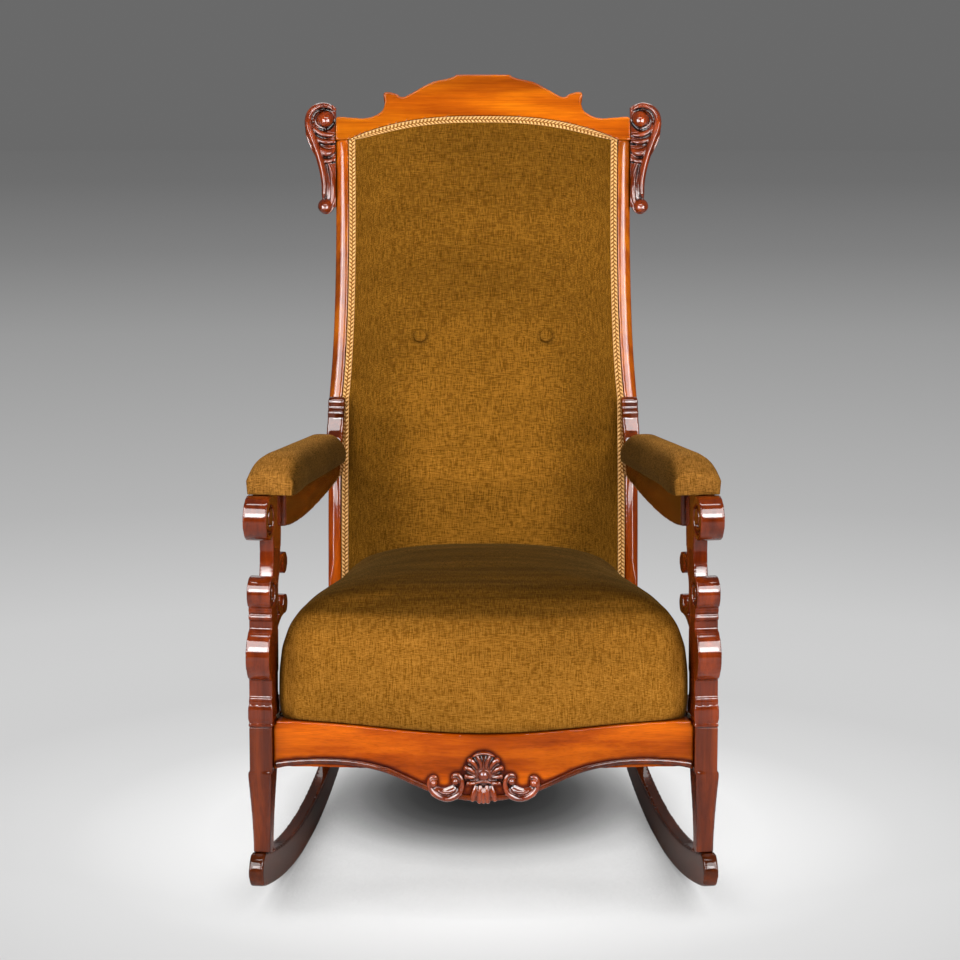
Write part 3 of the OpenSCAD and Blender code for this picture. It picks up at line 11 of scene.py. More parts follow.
import bpy
import numpy as np
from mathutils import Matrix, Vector


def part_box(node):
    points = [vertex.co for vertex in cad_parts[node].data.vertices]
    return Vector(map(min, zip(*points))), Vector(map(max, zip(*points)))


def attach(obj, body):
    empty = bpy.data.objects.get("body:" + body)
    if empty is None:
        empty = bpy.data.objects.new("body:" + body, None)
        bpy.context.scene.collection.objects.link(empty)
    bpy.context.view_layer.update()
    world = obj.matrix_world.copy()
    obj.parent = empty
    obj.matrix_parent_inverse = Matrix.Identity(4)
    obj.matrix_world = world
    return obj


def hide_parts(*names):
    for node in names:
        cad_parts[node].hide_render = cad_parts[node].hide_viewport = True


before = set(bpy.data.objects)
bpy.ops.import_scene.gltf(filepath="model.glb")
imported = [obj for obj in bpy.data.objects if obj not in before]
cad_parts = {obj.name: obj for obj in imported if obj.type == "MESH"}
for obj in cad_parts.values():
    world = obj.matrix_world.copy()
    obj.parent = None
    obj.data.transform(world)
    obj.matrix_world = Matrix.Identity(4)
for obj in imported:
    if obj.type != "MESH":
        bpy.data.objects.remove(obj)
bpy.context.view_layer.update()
MM = 0.001


scene = bpy.context.scene

# %% [markdown]
# The camera stands in front of the chair, a little above the arms, and looks slightly down. Its
# place was found from the chair's own perspective: a long lens about three metres away. A wide pale
# floor and a plain grey surrounding replace the studio. The floor carries painted light, paler near
# the chair, painted shade where the chair stands close over it and a painted pool of shade under the
# chair, and for the camera it glows, fully so far out. Soft lamps stand on both sides. Two more panels
# show only in the polish, because polished wood shows its shape by long, calm reflections.

# %% Camera
LENS = 90.0
CAMERA_DOWN = math.radians(8.75)
camera_data = bpy.data.cameras.new("camera")
camera_data.lens = LENS
camera_data.sensor_width = 36.0
camera = bpy.data.objects.new("camera", camera_data)
camera.location = (-0.0045, -3.351, 1.02)
camera.rotation_euler = (math.pi / 2 - CAMERA_DOWN, 0, 0)
scene.collection.objects.link(camera)
scene.camera = camera
scene.view_settings.view_transform = "Standard"
print("camera at", tuple(camera.location), "lens", LENS)

# %% [markdown]
# Shader nodes are wired the same way again and again, so a few short helpers come first. One adds a
# node and sets its constants, one links sockets, and one makes a colour ramp from a list of stops.

# %% Node helpers


def new_material(name):
    """An empty node material and its Principled shader."""
    material = bpy.data.materials.new(name)
    material.use_nodes = True
    shader = material.node_tree.nodes["Principled BSDF"]
    return material, shader


def add_node(material, kind, **settings):
    """A node of the given kind, with attributes and input values set by name."""
    node = material.node_tree.nodes.new(kind)
    for name, value in settings.items():
        if name in node.inputs:
            node.inputs[name].default_value = value
        else:
            setattr(node, name, value)
    return node


def wire(material, source, target):
    """Links an output socket to an input socket."""
    material.node_tree.links.new(source, target)


def ramp(material, source, stops, smooth=False):
    """A colour ramp over a list of (place, colour) stops; returns its colour socket."""
    node = add_node(material, "ShaderNodeValToRGB")
    if smooth:
        node.color_ramp.interpolation = "EASE"
    elements = node.color_ramp.elements
    while len(elements) < len(stops):
        elements.new(0.5)
    for element, (place, colour) in zip(elements, stops):
        element.position = place
        element.color = (*colour, 1) if len(colour) == 3 else colour
    wire(material, source, node.inputs["Fac"])
    return node.outputs["Color"]


def stretched_noise(material, scale, stretch, detail=3.0, roughness=0.5):
    """Noise on object coordinates, stretched along the axes by the given factors."""
    place = add_node(material, "ShaderNodeTexCoord")
    mapping = add_node(material, "ShaderNodeMapping")
    mapping.inputs["Scale"].default_value = stretch
    wire(material, place.outputs["Object"], mapping.inputs["Vector"])
    noise = add_node(material, "ShaderNodeTexNoise", Scale=scale, Detail=detail, Roughness=roughness)
    wire(material, mapping.outputs["Vector"], noise.inputs["Vector"])
    return noise.outputs["Fac"]


def object_part(material, axis):
    """One object coordinate, by the name of its axis."""
    place = add_node(material, "ShaderNodeTexCoord")
    part = add_node(material, "ShaderNodeSeparateXYZ")
    wire(material, place.outputs["Object"], part.inputs[0])
    return part.outputs[axis]


def normal_part(material, axis):
    """One part of the surface's direction, by the name of its axis."""
    facing = add_node(material, "ShaderNodeNewGeometry")
    part = add_node(material, "ShaderNodeSeparateXYZ")
    wire(material, facing.outputs["Normal"], part.inputs[0])
    return part.outputs[axis]


def without_sign(material, value):
    """The absolute value of a socket."""
    node = add_node(material, "ShaderNodeMath", operation="ABSOLUTE")
    wire(material, value, node.inputs[0])
    return node.outputs[0]


def mixed(material, first, second, factor, how="MIX"):
    """Mixes two colours. Each of the three may be a socket or a constant."""
    node = add_node(material, "ShaderNodeMix", data_type="RGBA", blend_type=how)
    for index, value in ((0, factor), (6, first), (7, second)):
        if isinstance(value, bpy.types.NodeSocket):
            wire(material, value, node.inputs[index])
        elif isinstance(value, tuple):
            node.inputs[index].default_value = (*value, 1)
        else:
            node.inputs[index].default_value = value
    return node.outputs[2]


def times(material, first, second, factor=1.0):
    """Two colours multiplied, or only by a share of the second."""
    return mixed(material, first, second, factor, "MULTIPLY")


def bump(material, height, shader, distance, strength=1.0):
    """Feeds a height into the shader's normal, with the height's depth in metres."""
    node = add_node(material, "ShaderNodeBump", Distance=distance, Strength=strength)
    wire(material, height, node.inputs["Height"])
    wire(material, node.outputs["Normal"], shader.inputs["Normal"])


def grey(value):
    """A neutral colour."""
    return (value, value, value)


print("node helpers ready")

# %% Floor, surrounding and lamps
FLOOR_RADIUS = 60.0
NEARNESS = 4.0
# Painted light falloff: the floor's tone by its nearness to the chair.
FLOOR_LIGHT_FALLOFF = [(0.06, 0.145), (0.11, 0.155), (0.217, 0.215), (0.336, 0.32), (0.577, 0.46),
               (0.713, 0.60), (0.82, 0.64), (0.87, 0.74), (0.91, 0.95)]
FAR_GREY = 0.142
# A painted pool of shadow under the chair: its middle, half widths and tones.
POOL_MIDDLE = 0.17
POOL_HALF = (0.40, 0.50)
SHADOW_POOL_TONES = [(0.15, 0.03), (0.27, 0.06), (0.36, 0.12), (0.44, 0.24), (0.54, 0.48), (0.64, 0.80),
              (0.76, 0.98), (0.9, 1.0)]


def studio_floor():
    """A wide disc with painted light and shade: paler near the chair and darker further out, painted
    shade where the chair stands close over it, and a painted pool of shadow under the chair. For the
    camera it glows with these tones, three quarters so near the chair and fully far out, so that no
    horizon shows."""
    angles = np.linspace(0, 2 * np.pi, 97)[:-1]
    rim = np.column_stack([FLOOR_RADIUS * np.cos(angles), FLOOR_RADIUS * np.sin(angles), 0 * angles])
    mesh = bpy.data.meshes.new("studio_floor")
    mesh.from_pydata(rim.tolist(), [], [list(range(len(rim)))])
    floor = bpy.data.objects.new("studio_floor", mesh)
    scene.collection.objects.link(floor)
    material, shader = new_material("studio_floor")
    place = add_node(material, "ShaderNodeTexCoord")
    length = add_node(material, "ShaderNodeVectorMath", operation="LENGTH")
    wire(material, place.outputs["Object"], length.inputs[0])
    further = add_node(material, "ShaderNodeMath", operation="ADD")
    further.inputs[1].default_value = NEARNESS
    wire(material, length.outputs["Value"], further.inputs[0])
    nearness = add_node(material, "ShaderNodeMath", operation="DIVIDE")
    nearness.inputs[0].default_value = NEARNESS
    wire(material, further.outputs[0], nearness.inputs[1])
    colour = ramp(material, nearness.outputs[0], [(t, grey(v)) for t, v in FLOOR_LIGHT_FALLOFF])
    # Painted shade where the chair stands close over the floor, from ambient occlusion.
    closeness = add_node(material, "ShaderNodeAmbientOcclusion", samples=12, Distance=0.25)
    shade = ramp(material, closeness.outputs["AO"], [(0.2, grey(0.25)), (0.75, grey(1.0))])
    shaded = times(material, colour, shade)
    pool = add_node(material, "ShaderNodeMapping", Scale=(1 / POOL_HALF[0], 1 / POOL_HALF[1], 1),
                    Location=(0, -POOL_MIDDLE / POOL_HALF[1], 0))
    wire(material, place.outputs["Object"], pool.inputs["Vector"])
    inside = add_node(material, "ShaderNodeVectorMath", operation="LENGTH")
    wire(material, pool.outputs[0], inside.inputs[0])
    deep = ramp(material, inside.outputs["Value"], [(t, grey(v)) for t, v in SHADOW_POOL_TONES])
    shaded = times(material, shaded, deep)
    wire(material, shaded, shader.inputs["Base Color"])
    shader.inputs["Roughness"].default_value = 0.9
    shader.inputs["Specular IOR Level"].default_value = 0.0
    glow = add_node(material, "ShaderNodeEmission")
    wire(material, shaded, glow.inputs["Color"])
    path = add_node(material, "ShaderNodeLightPath")
    reach = add_node(material, "ShaderNodeMapRange", interpolation_type="SMOOTHSTEP")
    reach.inputs["From Min"].default_value = 0.20
    reach.inputs["From Max"].default_value = 1.3
    reach.inputs["To Min"].default_value = 0.75
    wire(material, length.outputs["Value"], reach.inputs["Value"])
    share = add_node(material, "ShaderNodeMath", operation="MULTIPLY")
    wire(material, path.outputs["Is Camera Ray"], share.inputs[0])
    wire(material, reach.outputs["Result"], share.inputs[1])
    both = add_node(material, "ShaderNodeMixShader")
    wire(material, share.outputs[0], both.inputs[0])
    wire(material, shader.outputs[0], both.inputs[1])
    wire(material, glow.outputs[0], both.inputs[2])
    output = material.node_tree.nodes["Material Output"]
    wire(material, both.outputs[0], output.inputs["Surface"])
    floor.data.materials.append(material)
    return floor


def soft_lamp(name, place, aim, size, power, gloss_only=False):
    """A rectangular lamp that faces a point; gloss_only ones show in the polish and light nothing."""
    data = bpy.data.lights.new(name, "AREA")
    data.shape = "RECTANGLE"
    data.size, data.size_y = size
    data.energy = power
    lamp = bpy.data.objects.new(name, data)
    lamp.location = place
    lamp.rotation_euler = (Vector(aim) - Vector(place)).to_track_quat("-Z", "Y").to_euler()
    lamp.visible_camera = False
    lamp.visible_diffuse = not gloss_only
    scene.collection.objects.link(lamp)
    return lamp


def surrounding():
    """The world: dim even light on the chair, and a plain grey where the camera or a gloss sees it."""
    world = bpy.data.worlds.new("surrounding")
    world.use_nodes = True
    nodes = world.node_tree.nodes
    links = world.node_tree.links
    light = nodes["Background"]
    light.inputs["Color"].default_value = (1, 1, 1, 1)
    light.inputs["Strength"].default_value = 0.13
    seen = nodes.new("ShaderNodeBackground")
    seen.inputs["Color"].default_value = (*grey(FAR_GREY), 1)
    path = nodes.new("ShaderNodeLightPath")
    either = nodes.new("ShaderNodeMath")
    either.operation = "MAXIMUM"
    links.new(path.outputs["Is Camera Ray"], either.inputs[0])
    links.new(path.outputs["Is Glossy Ray"], either.inputs[1])
    mix = nodes.new("ShaderNodeMixShader")
    links.new(either.outputs[0], mix.inputs[0])
    links.new(light.outputs[0], mix.inputs[1])
    links.new(seen.outputs[0], mix.inputs[2])
    links.new(mix.outputs[0], nodes["World Output"].inputs["Surface"])
    scene.world = world


studio_floor()
surrounding()
CHAIR_MIDDLE = (0, 0, 0.55)
for side, word in ((-1, "left"), (1, "right")):
    soft_lamp("lamp_side_" + word, (side * 2.3, -1.8, 1.7), (0, 0, 0.8), (0.16, 3.0), 34)
    soft_lamp("lamp_front_" + word, (side * 0.95, -3.3, 1.75), CHAIR_MIDDLE, (0.9, 0.95), 54)
    soft_lamp("panel_" + word, (side * 1.6, -1.9, 1.9), (0, 0, 0.8), (2.0, 2.0), 150, True)
soft_lamp("lamp_top", (0, -0.7, 2.9), (0, -0.1, 0.4), (1.7, 0.25), 20)
soft_lamp("lamp_rear", (0, 3.4, 2.6), (0, 0.3, 0.7), (2.4, 1.2), 22)
print("studio ready")

# %% [markdown]
# Old polished walnut: streaks of darker grain run along each piece, fine pores break them up,
# painted shade darkens corners and carving, and a clear film gives sharp reflections. The grain is
# noise on object coordinates, squeezed along the piece, so it runs through a curve without seams.
# The painted shade comes from an ambient occlusion node, which is dark where surfaces face each
# other closely, and more painted shade darkens the back posts below the arms.

# %% Wood materials
STAIN = (0.22, 0.11, 0.3)
ALONG = {"x": (0.10, 1.0, 1.0), "y": (1.0, 0.10, 1.0), "z": (1.0, 1.0, 0.10)}


def wood(name, light, dark, grain, corner_shade=0.75, gloss=0.9, rough=0.45, film=(1.5, 0.07), reach=12,
         foot_shade=None, corners=(0.25, 0.85), stained=False):
    """Polished wood with its grain along one axis; colours are its light and dark streaks. The film
    of polish has an index of refraction and a roughness, dirt sets the painted shade within reach
    (in mm) of another face, foot_shade is painted shade that darkens and reddens the wood below the
    arms, and stained wood has an attribute, stain."""
    material, shader = new_material(name)
    streaks = stretched_noise(material, 46.0, ALONG[grain], 6.0, 0.62)
    broad = stretched_noise(material, 9.0, ALONG[grain], 2.0)
    pores = stretched_noise(material, 900.0, tuple(v * v for v in ALONG[grain]), 2.0)
    middle = tuple((a * b) ** 0.5 for a, b in zip(light, dark))
    colour = ramp(material, streaks, [(0.30, dark), (0.47, middle), (0.66, light)])
    shade = ramp(material, broad, [(0.32, grey(0.5)), (0.62, grey(1.15))])
    colour = times(material, colour, shade)
    pore_shade = ramp(material, pores, [(0.36, grey(0.72)), (0.5, grey(1.0))])
    colour = times(material, colour, pore_shade, 0.6)
    # Painted shade: the colour darkens where another face is within reach, as ambient occlusion finds.
    closeness = add_node(material, "ShaderNodeAmbientOcclusion", samples=6, Distance=reach * MM)
    corner = ramp(material, closeness.outputs["AO"], [(corners[0], grey(1 - corner_shade)), (corners[1], grey(1.0))])
    colour = times(material, colour, corner)
    if stained:
        stain = add_node(material, "ShaderNodeAttribute", attribute_name="stain")
        darker = times(material, colour, STAIN)
        colour = mixed(material, colour, darker, stain.outputs["Fac"])
    # Painted shade below the arms: the wood darkens and reddens under them.
    if foot_shade:
        foot = ramp(material, object_part(material, "Z"), [(0.52, foot_shade), (0.72, grey(1.0))], True)
        colour = times(material, colour, foot)
    wire(material, colour, shader.inputs["Base Color"])
    shader.inputs["Roughness"].default_value = rough
    shader.inputs["Coat Weight"].default_value = gloss
    shader.inputs["Coat Roughness"].default_value = film[1]
    shader.inputs["Coat IOR"].default_value = film[0]
    shader.inputs["Specular IOR Level"].default_value = 0.0
    bump(material, pores, shader, 0.0002, 0.35)
    return material


LIGHT_WALNUT = ((0.68, 0.165, 0.003), (0.28, 0.042, 0.001))
RAIL_WALNUT = ((0.64, 0.125, 0.002), (0.24, 0.031, 0.001))
RED_WALNUT = ((0.20, 0.031, 0.002), (0.055, 0.007, 0.001))
SUPPORT_WALNUT = ((0.25, 0.034, 0.003), (0.07, 0.008, 0.001))
CARVED_WALNUT = ((0.36, 0.050, 0.003), (0.10, 0.011, 0.001))
DARK_WALNUT = ((0.11, 0.020, 0.004), (0.032, 0.006, 0.001))
RAW_BEECH = ((0.58, 0.42, 0.25), (0.44, 0.29, 0.16))
STAINED_BEECH = ((0.20, 0.075, 0.022), (0.10, 0.032, 0.010))
wood_light_x = wood("walnut_light_x", *LIGHT_WALNUT, "x", gloss=0.4)
wood_rail_x = wood("walnut_rail_x", *RAIL_WALNUT, "x", gloss=0.25, reach=18, stained=True)
wood_light_z = wood("walnut_light_z", *LIGHT_WALNUT, "z", gloss=0.7, foot_shade=(0.60, 0.42, 0.6))
wood_red_y = wood("walnut_red_y", *RED_WALNUT, "y")
wood_red_z = wood("walnut_red_z", *RED_WALNUT, "z", corner_shade=0.85, gloss=0.75)
wood_support_z = wood("walnut_support_z", *SUPPORT_WALNUT, "z", corner_shade=0.9)
wood_dark_y = wood("walnut_dark_y", *DARK_WALNUT, "y", gloss=0.5)
wood_dark_z = wood("walnut_dark_z", *DARK_WALNUT, "z")
carved_wood = wood("walnut_carved", *CARVED_WALNUT, "z", corner_shade=0.99, gloss=1.0, film=(1.6, 0.05),
                   reach=10, corners=(0.45, 0.97))
beech_x = wood("beech_x", *RAW_BEECH, "x", corner_shade=0.4, gloss=0.0, rough=0.7)
stained_x = wood("beech_stained_x", *STAINED_BEECH, "x", corner_shade=0.5, gloss=0.2, rough=0.6)
print("wood materials ready")

# %% [markdown]
# The solids have true, knife-sharp edges. On a polished chair every edge is rounded by wear and
# catches light. One way is a bevel on every edge, which fails where an outline has short facets.
# The way used here works on any shape: the copy is rebuilt from small voxels, which rounds each edge
# by about a voxel, and a light smoothing takes the rest.

# %% Rounded copies of the wooden solids


def read_points(mesh):
    """A mesh's points as an array."""
    points = np.empty(len(mesh.vertices) * 3, np.float32)
    mesh.vertices.foreach_get("co", points)
    return points.reshape(-1, 3).astype(float)


def write_points(mesh, points):
    """Puts an array of points back into a mesh."""
    mesh.vertices.foreach_set("co", np.asarray(points, np.float32).ravel())
    mesh.update()


def smoothstep(low, high, value):
    """0 below low, 1 above high, and a smooth climb between them."""
    share = np.clip((value - low) / (high - low), 0, 1)
    return share * share * (3 - 2 * share)


def worn_down(piece, weld, voxel, passes, ratio):
    """Welds a piece's points, rebuilds it from voxels, smooths it, thins it and applies all that."""
    joined = piece.modifiers.new("weld", "WELD")
    joined.merge_threshold = weld
    remesh = piece.modifiers.new("voxels", "REMESH")
    remesh.mode = "VOXEL"
    remesh.voxel_size = voxel
    remesh.use_smooth_shade = True
    smooth = piece.modifiers.new("wear", "SMOOTH")
    smooth.factor = 0.5
    smooth.iterations = passes
    thin = piece.modifiers.new("thin", "DECIMATE")
    thin.ratio = ratio
    return settle(piece)


def stand_for(piece, node):
    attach(piece, "root")
    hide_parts(node)
    return piece


def soften(node, material, voxel, passes, ratio=0.45):
    """A copy of a solid with worn edges: welded, rebuilt from voxels, smoothed and thinned."""
    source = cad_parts[node]
    piece = source.copy()
    piece.data = source.data.copy()
    piece.name = "worn_" + node
    for key in list(piece.keys()):
        del piece[key]
    piece.parent = None
    scene.collection.objects.link(piece)
    worn_down(piece, 0.01 * MM, voxel, passes, ratio)
    piece.data.materials.clear()
    piece.data.materials.append(material)
    return stand_for(piece, node)


def settle(piece):
    """Applies a piece's modifiers to its mesh, so that nothing is left live on it."""
    graph = bpy.context.evaluated_depsgraph_get()
    mesh = bpy.data.meshes.new_from_object(piece.evaluated_get(graph))
    piece.modifiers.clear()
    piece.data = mesh
    return piece


WORN = {
    "rocker": (wood_dark_y, 1.6, 16), "front_leg": (wood_red_z, 1.1, 9),
    "back_post": (wood_light_z, 1.5, 26), "side_rail": (wood_red_y, 2.0, 5),
    "arm_support": (wood_support_z, 1.1, 6), "support_bracket": (wood_support_z, 1.1, 7),
    "arm": (wood_red_y, 1.4, 22),
}
worn = {}
for stem, (material, voxel, passes) in WORN.items():
    for side in ("left", "right"):
        node = f"{stem}_{side}"
        worn[node] = soften(node, material, voxel * MM, passes)
worn["front_rail"] = soften("front_rail", wood_rail_x, 1.5 * MM, 7, 1.0)
worn["crest_rail"] = soften("crest_rail", wood_light_x, 1.4 * MM, 12)
worn["apron_bead"] = soften("apron_bead", wood_red_z, 0.9 * MM, 2)
LEG_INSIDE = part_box("front_leg_right")[0].x


def settle_bead(piece):
    """Draws the bead's thin ends out to the legs: the shift grows smoothly over 80 mm near an end."""
    points = read_points(piece.data)
    share = smoothstep(LEG_INSIDE - 0.09, LEG_INSIDE - 0.01, np.abs(points[:, 0]))
    gap = LEG_INSIDE - np.abs(points[:, 0]).max()
    points[:, 0] += np.sign(points[:, 0]) * gap * share
    write_points(piece.data, points)


settle_bead(worn["apron_bead"])
triangles = sum(len(p.data.polygons) for p in worn.values())
print("worn pieces:", len(worn), "faces:", triangles)

# %% [markdown]
# Velvet is a short pile, so it is dull, its colour changes with the way the pile lies, and its edges
# catch a pale sheen. The cloth under the pile is woven, which shows as a fine irregular crosshatch.
# Both are noise on object coordinates: one stretched sideways and one stretched up and back. Painted
# shade darkens the seat's top, the arm pads' inner faces, the sides of the back's foot and the cloth
# where other surfaces stand close, and painted light brightens the middle of the back's foot.

# %% Cloth materials
THREADS = 1250.0


def velvet(name, light, dark, top_shade=1.0, low_shade=1.0, inner_shade=1.0):
    """Pile cloth with a woven crosshatch and broad nap marks. Faces that look up take top_shade,
    painted shade for how dark the pile looks from the front; the middle of the back's foot takes
    low_shade, painted light, and the foot's sides take painted shadow of the arm pads; faces that
    look towards the chair's middle take inner_shade, painted shade."""
    material, shader = new_material(name)
    sideways = ramp(material, without_sign(material, normal_part(material, "X")),
                    [(0.45, grey(0.0)), (0.75, grey(1.0))])
    across = mixed(material, stretched_noise(material, THREADS, (0.07, 1.0, 1.0), 1.0),
                   stretched_noise(material, THREADS, (0.07, 0.07, 1.0), 1.0), sideways)
    upward = mixed(material, stretched_noise(material, THREADS, (1.0, 0.07, 0.07), 1.0),
                   stretched_noise(material, THREADS, (0.07, 1.0, 0.07), 1.0), sideways)
    weave = add_node(material, "ShaderNodeMath", operation="ADD")
    wire(material, across, weave.inputs[0])
    wire(material, upward, weave.inputs[1])
    fine = ramp(material, weave.outputs[0], [(0.0, grey(0.0)), (1.0, grey(1.0))])
    half = add_node(material, "ShaderNodeMath", operation="MULTIPLY")
    half.inputs[1].default_value = 0.5
    wire(material, weave.outputs[0], half.inputs[0])
    colour = ramp(material, half.outputs[0], [(0.41, dark), (0.59, light)])
    pile = stretched_noise(material, 1900.0, (1.0, 1.0, 1.0), 2.0)
    speckle = ramp(material, pile, [(0.34, grey(0.70)), (0.66, grey(1.28))])
    colour = times(material, colour, speckle)
    nap = stretched_noise(material, 7.0, (0.5, 1.2, 1.6), 3.0, 0.6)
    nap_shade = ramp(material, nap, [(0.3, grey(0.78)), (0.7, grey(1.14))])
    colour = times(material, colour, nap_shade)
    # Painted shade on faces that look up, for how dark the pile looks from the front; the brushed streaks on
    # them are nap marks.
    if top_shade < 1.0:
        upright = normal_part(material, "Z")
        painted_light = ramp(material, upright, [(0.25, grey(1.0)), (0.60, grey(0.72)),
                   (0.97, grey(top_shade))])
        colour = times(material, colour, painted_light)
        brushed = stretched_noise(material, 70.0, (0.06, 1.0, 1.0), 3.0)
        stroked = ramp(material, brushed, [(0.35, grey(0.8)), (0.68, grey(1.2))])
        looks_up = ramp(material, upright, [(0.4, grey(0.0)), (0.85, grey(1.0))])
        colour = times(material, colour, mixed(material, grey(1.0), stroked, looks_up))
    # Painted light in the middle of the back's foot, and painted shadow of the arm pads at its sides.
    if low_shade != 1.0:
        height = object_part(material, "Z")
        painted_light = ramp(material, height, [(0.52, grey(low_shade)), (0.80, grey(1.0))], True)
        aside = without_sign(material, object_part(material, "X"))
        beside = ramp(material, aside, [(0.07, grey(0.0)), (0.15, grey(1.0))], True)
        low = ramp(material, height, [(0.50, grey(0.86)), (0.62, grey(1.0))], True)
        colour = times(material, colour, mixed(material, painted_light, low, beside))
    # Painted shade on faces that look towards the chair's middle.
    if inner_shade != 1.0:
        outward = add_node(material, "ShaderNodeMath", operation="MULTIPLY_ADD")
        wire(material, normal_part(material, "X"), outward.inputs[0])
        wire(material, object_part(material, "X"), outward.inputs[1])
        outward.inputs[2].default_value = 0.5
        painted_light = ramp(material, outward.outputs[0], [(0.30, grey(inner_shade)), (0.47, grey(1.0))], True)
        colour = times(material, colour, painted_light)
    # Painted shade: the cloth darkens where another surface stands close, from ambient occlusion.
    closeness = add_node(material, "ShaderNodeAmbientOcclusion", samples=6, Distance=0.03)
    corner = ramp(material, closeness.outputs["AO"], [(0.2, grey(0.35)), (0.8, grey(1.0))])
    colour = times(material, colour, corner)
    wire(material, colour, shader.inputs["Base Color"])
    shader.inputs["Roughness"].default_value = 0.95
    shader.inputs["Specular IOR Level"].default_value = 0.0
    shader.inputs["Sheen Weight"].default_value = 0.06
    shader.inputs["Sheen Roughness"].default_value = 0.35
    shader.inputs["Sheen Tint"].default_value = (0.95, 0.62, 0.22, 1)
    bump(material, fine, shader, 0.0008, 0.6)
    return material


seat_velvet = velvet("velvet_seat", (0.31, 0.135, 0.019), (0.145, 0.054, 0.005), 0.26)
back_velvet = velvet("velvet_back", (0.22, 0.094, 0.011), (0.088, 0.034, 0.003), 1.0, 1.5)
pad_velvet = velvet("velvet_pads", (0.32, 0.140, 0.026), (0.13, 0.052, 0.007), 1.0, 1.0, 0.3)


def plain_weave(name, light, dark, threads):
    """Coarse plain weave: two stretched noises and a bump, without any sheen."""
    material, shader = new_material(name)
    across = stretched_noise(material, threads, (0.12, 1.0, 1.0), 2.0)
    upward = stretched_noise(material, threads, (1.0, 0.12, 0.12), 2.0)
    weave = add_node(material, "ShaderNodeMath", operation="MAXIMUM")
    wire(material, across, weave.inputs[0])
    wire(material, upward, weave.inputs[1])
    colour = ramp(material, weave.outputs[0], [(0.42, dark), (0.66, light)])
    wire(material, colour, shader.inputs["Base Color"])
    shader.inputs["Roughness"].default_value = 0.9
    bump(material, weave.outputs[0], shader, 0.0006, 0.6)
    return material


jute = plain_weave("jute", (0.50, 0.36, 0.20), (0.26, 0.17, 0.085), 420.0)
print("cloth materials ready")

# %% [markdown]
# Every padded piece is one grid, bent into a closed form. A grid is easy to compute as whole arrays,
# and it keeps its rows and columns, so the cloth solver has even cells to work on. The helpers below
# join two grids that share their rim into one closed mesh, and swell it with the cloth solver.

# %% Grids and swelling


def grid_faces(rows, columns, first=0, flip=False):
    """Quads of a grid of points, counted row by row; flip turns them over."""
    index = first + np.arange(rows * columns).reshape(rows, columns)
    quads = np.stack([index[:-1, :-1], index[:-1, 1:], index[1:, 1:], index[1:, :-1]], -1)
    quads = quads.reshape(-1, 4)
    return quads[:, ::-1] if flip else quads


def rim_of(rows, columns):
    """Indices round a grid's edge, once."""
    index = np.arange(rows * columns).reshape(rows, columns)
    return np.concatenate([index[0, :-1], index[:-1, -1], index[-1, :0:-1], index[:0:-1, 0]])


def make_piece(name, points, faces, material, smooth=True):
    """A mesh object from arrays of points and faces."""
    mesh = bpy.data.meshes.new(name)
    mesh.from_pydata(np.asarray(points).tolist(), [], [list(face) for face in faces])
    piece = bpy.data.objects.new(name, mesh)
    scene.collection.objects.link(piece)
    mesh.polygons.foreach_set("use_smooth", np.full(len(mesh.polygons), smooth))
    mesh.materials.append(material)
    return piece


def quad_volume(points, faces):
    """Volume that closed quads enclose: the sum over them of the pyramids to the origin."""
    a, b, c, d = points[faces].transpose(1, 0, 2)
    upright = np.cross(a, b) + np.cross(b, c) + np.cross(c, d) + np.cross(d, a)
    return np.einsum("ij,ij->i", (a + b + c + d) / 4, upright).sum() / 6


def shells(name, pairs, material):
    """One piece from pairs of equal grids; each pair is closed by a strip round its rim."""
    all_points, all_faces, start = [], [], 0
    for outer, inner in pairs:
        rows, columns = outer.shape[:2]
        count = rows * columns
        rim = rim_of(rows, columns)
        after = np.roll(rim, -1)
        strip = np.column_stack([rim, rim + count, after + count, after])
        faces = np.concatenate([grid_faces(rows, columns), grid_faces(rows, columns, count, True),
                                strip])
        points = np.concatenate([outer.reshape(-1, 3), inner.reshape(-1, 3)])
        if quad_volume(points, faces) < 0:
            faces = faces[:, ::-1]
        all_points.append(points)
        all_faces.append(faces + start)
        start += 2 * count
    return make_piece(name, np.concatenate(all_points), np.concatenate(all_faces), material)


FRAMES = 20


def inflate(piece, held, cap, pressure=4.0):
    """Swells a closed piece with the cloth solver; held points stay and none moves more than cap."""
    group = piece.vertex_groups.new(name="held")
    group.add(np.flatnonzero(held).tolist(), 1.0, "REPLACE")
    cloth = piece.modifiers.new("cloth", "CLOTH")
    cloth.settings.quality = 6
    cloth.settings.use_pressure = True
    cloth.settings.uniform_pressure_force = pressure
    cloth.settings.effector_weights.gravity = 0
    cloth.settings.vertex_group_mass = "held"
    cloth.point_cache.frame_start = 1
    cloth.point_cache.frame_end = FRAMES
    for number in range(1, FRAMES + 1):
        scene.frame_set(number)
    graph = bpy.context.evaluated_depsgraph_get()
    swollen = read_points(piece.evaluated_get(graph).data)
    rest = read_points(piece.data)
    piece.modifiers.clear()
    scene.frame_set(1)
    moved = swollen - rest
    length = np.linalg.norm(moved, axis=1, keepdims=True)
    limit = cap * np.tanh(length / cap) / np.maximum(length, 1e-9)
    write_points(piece.data, rest + moved * limit)
    print(piece.name, "swelled by up to", round(float((length * limit).max()) / MM, 1), "mm")
    return piece


def finish_soft(piece, node):
    """Subdivides a padded piece once, attaches it to the root body and hides the solid it stands for."""
    smooth = piece.modifiers.new("smooth", "SUBSURF")
    smooth.levels = smooth.render_levels = 1
    settle(piece)
    stand_for(piece, node)
    return piece


print("grid helpers ready")

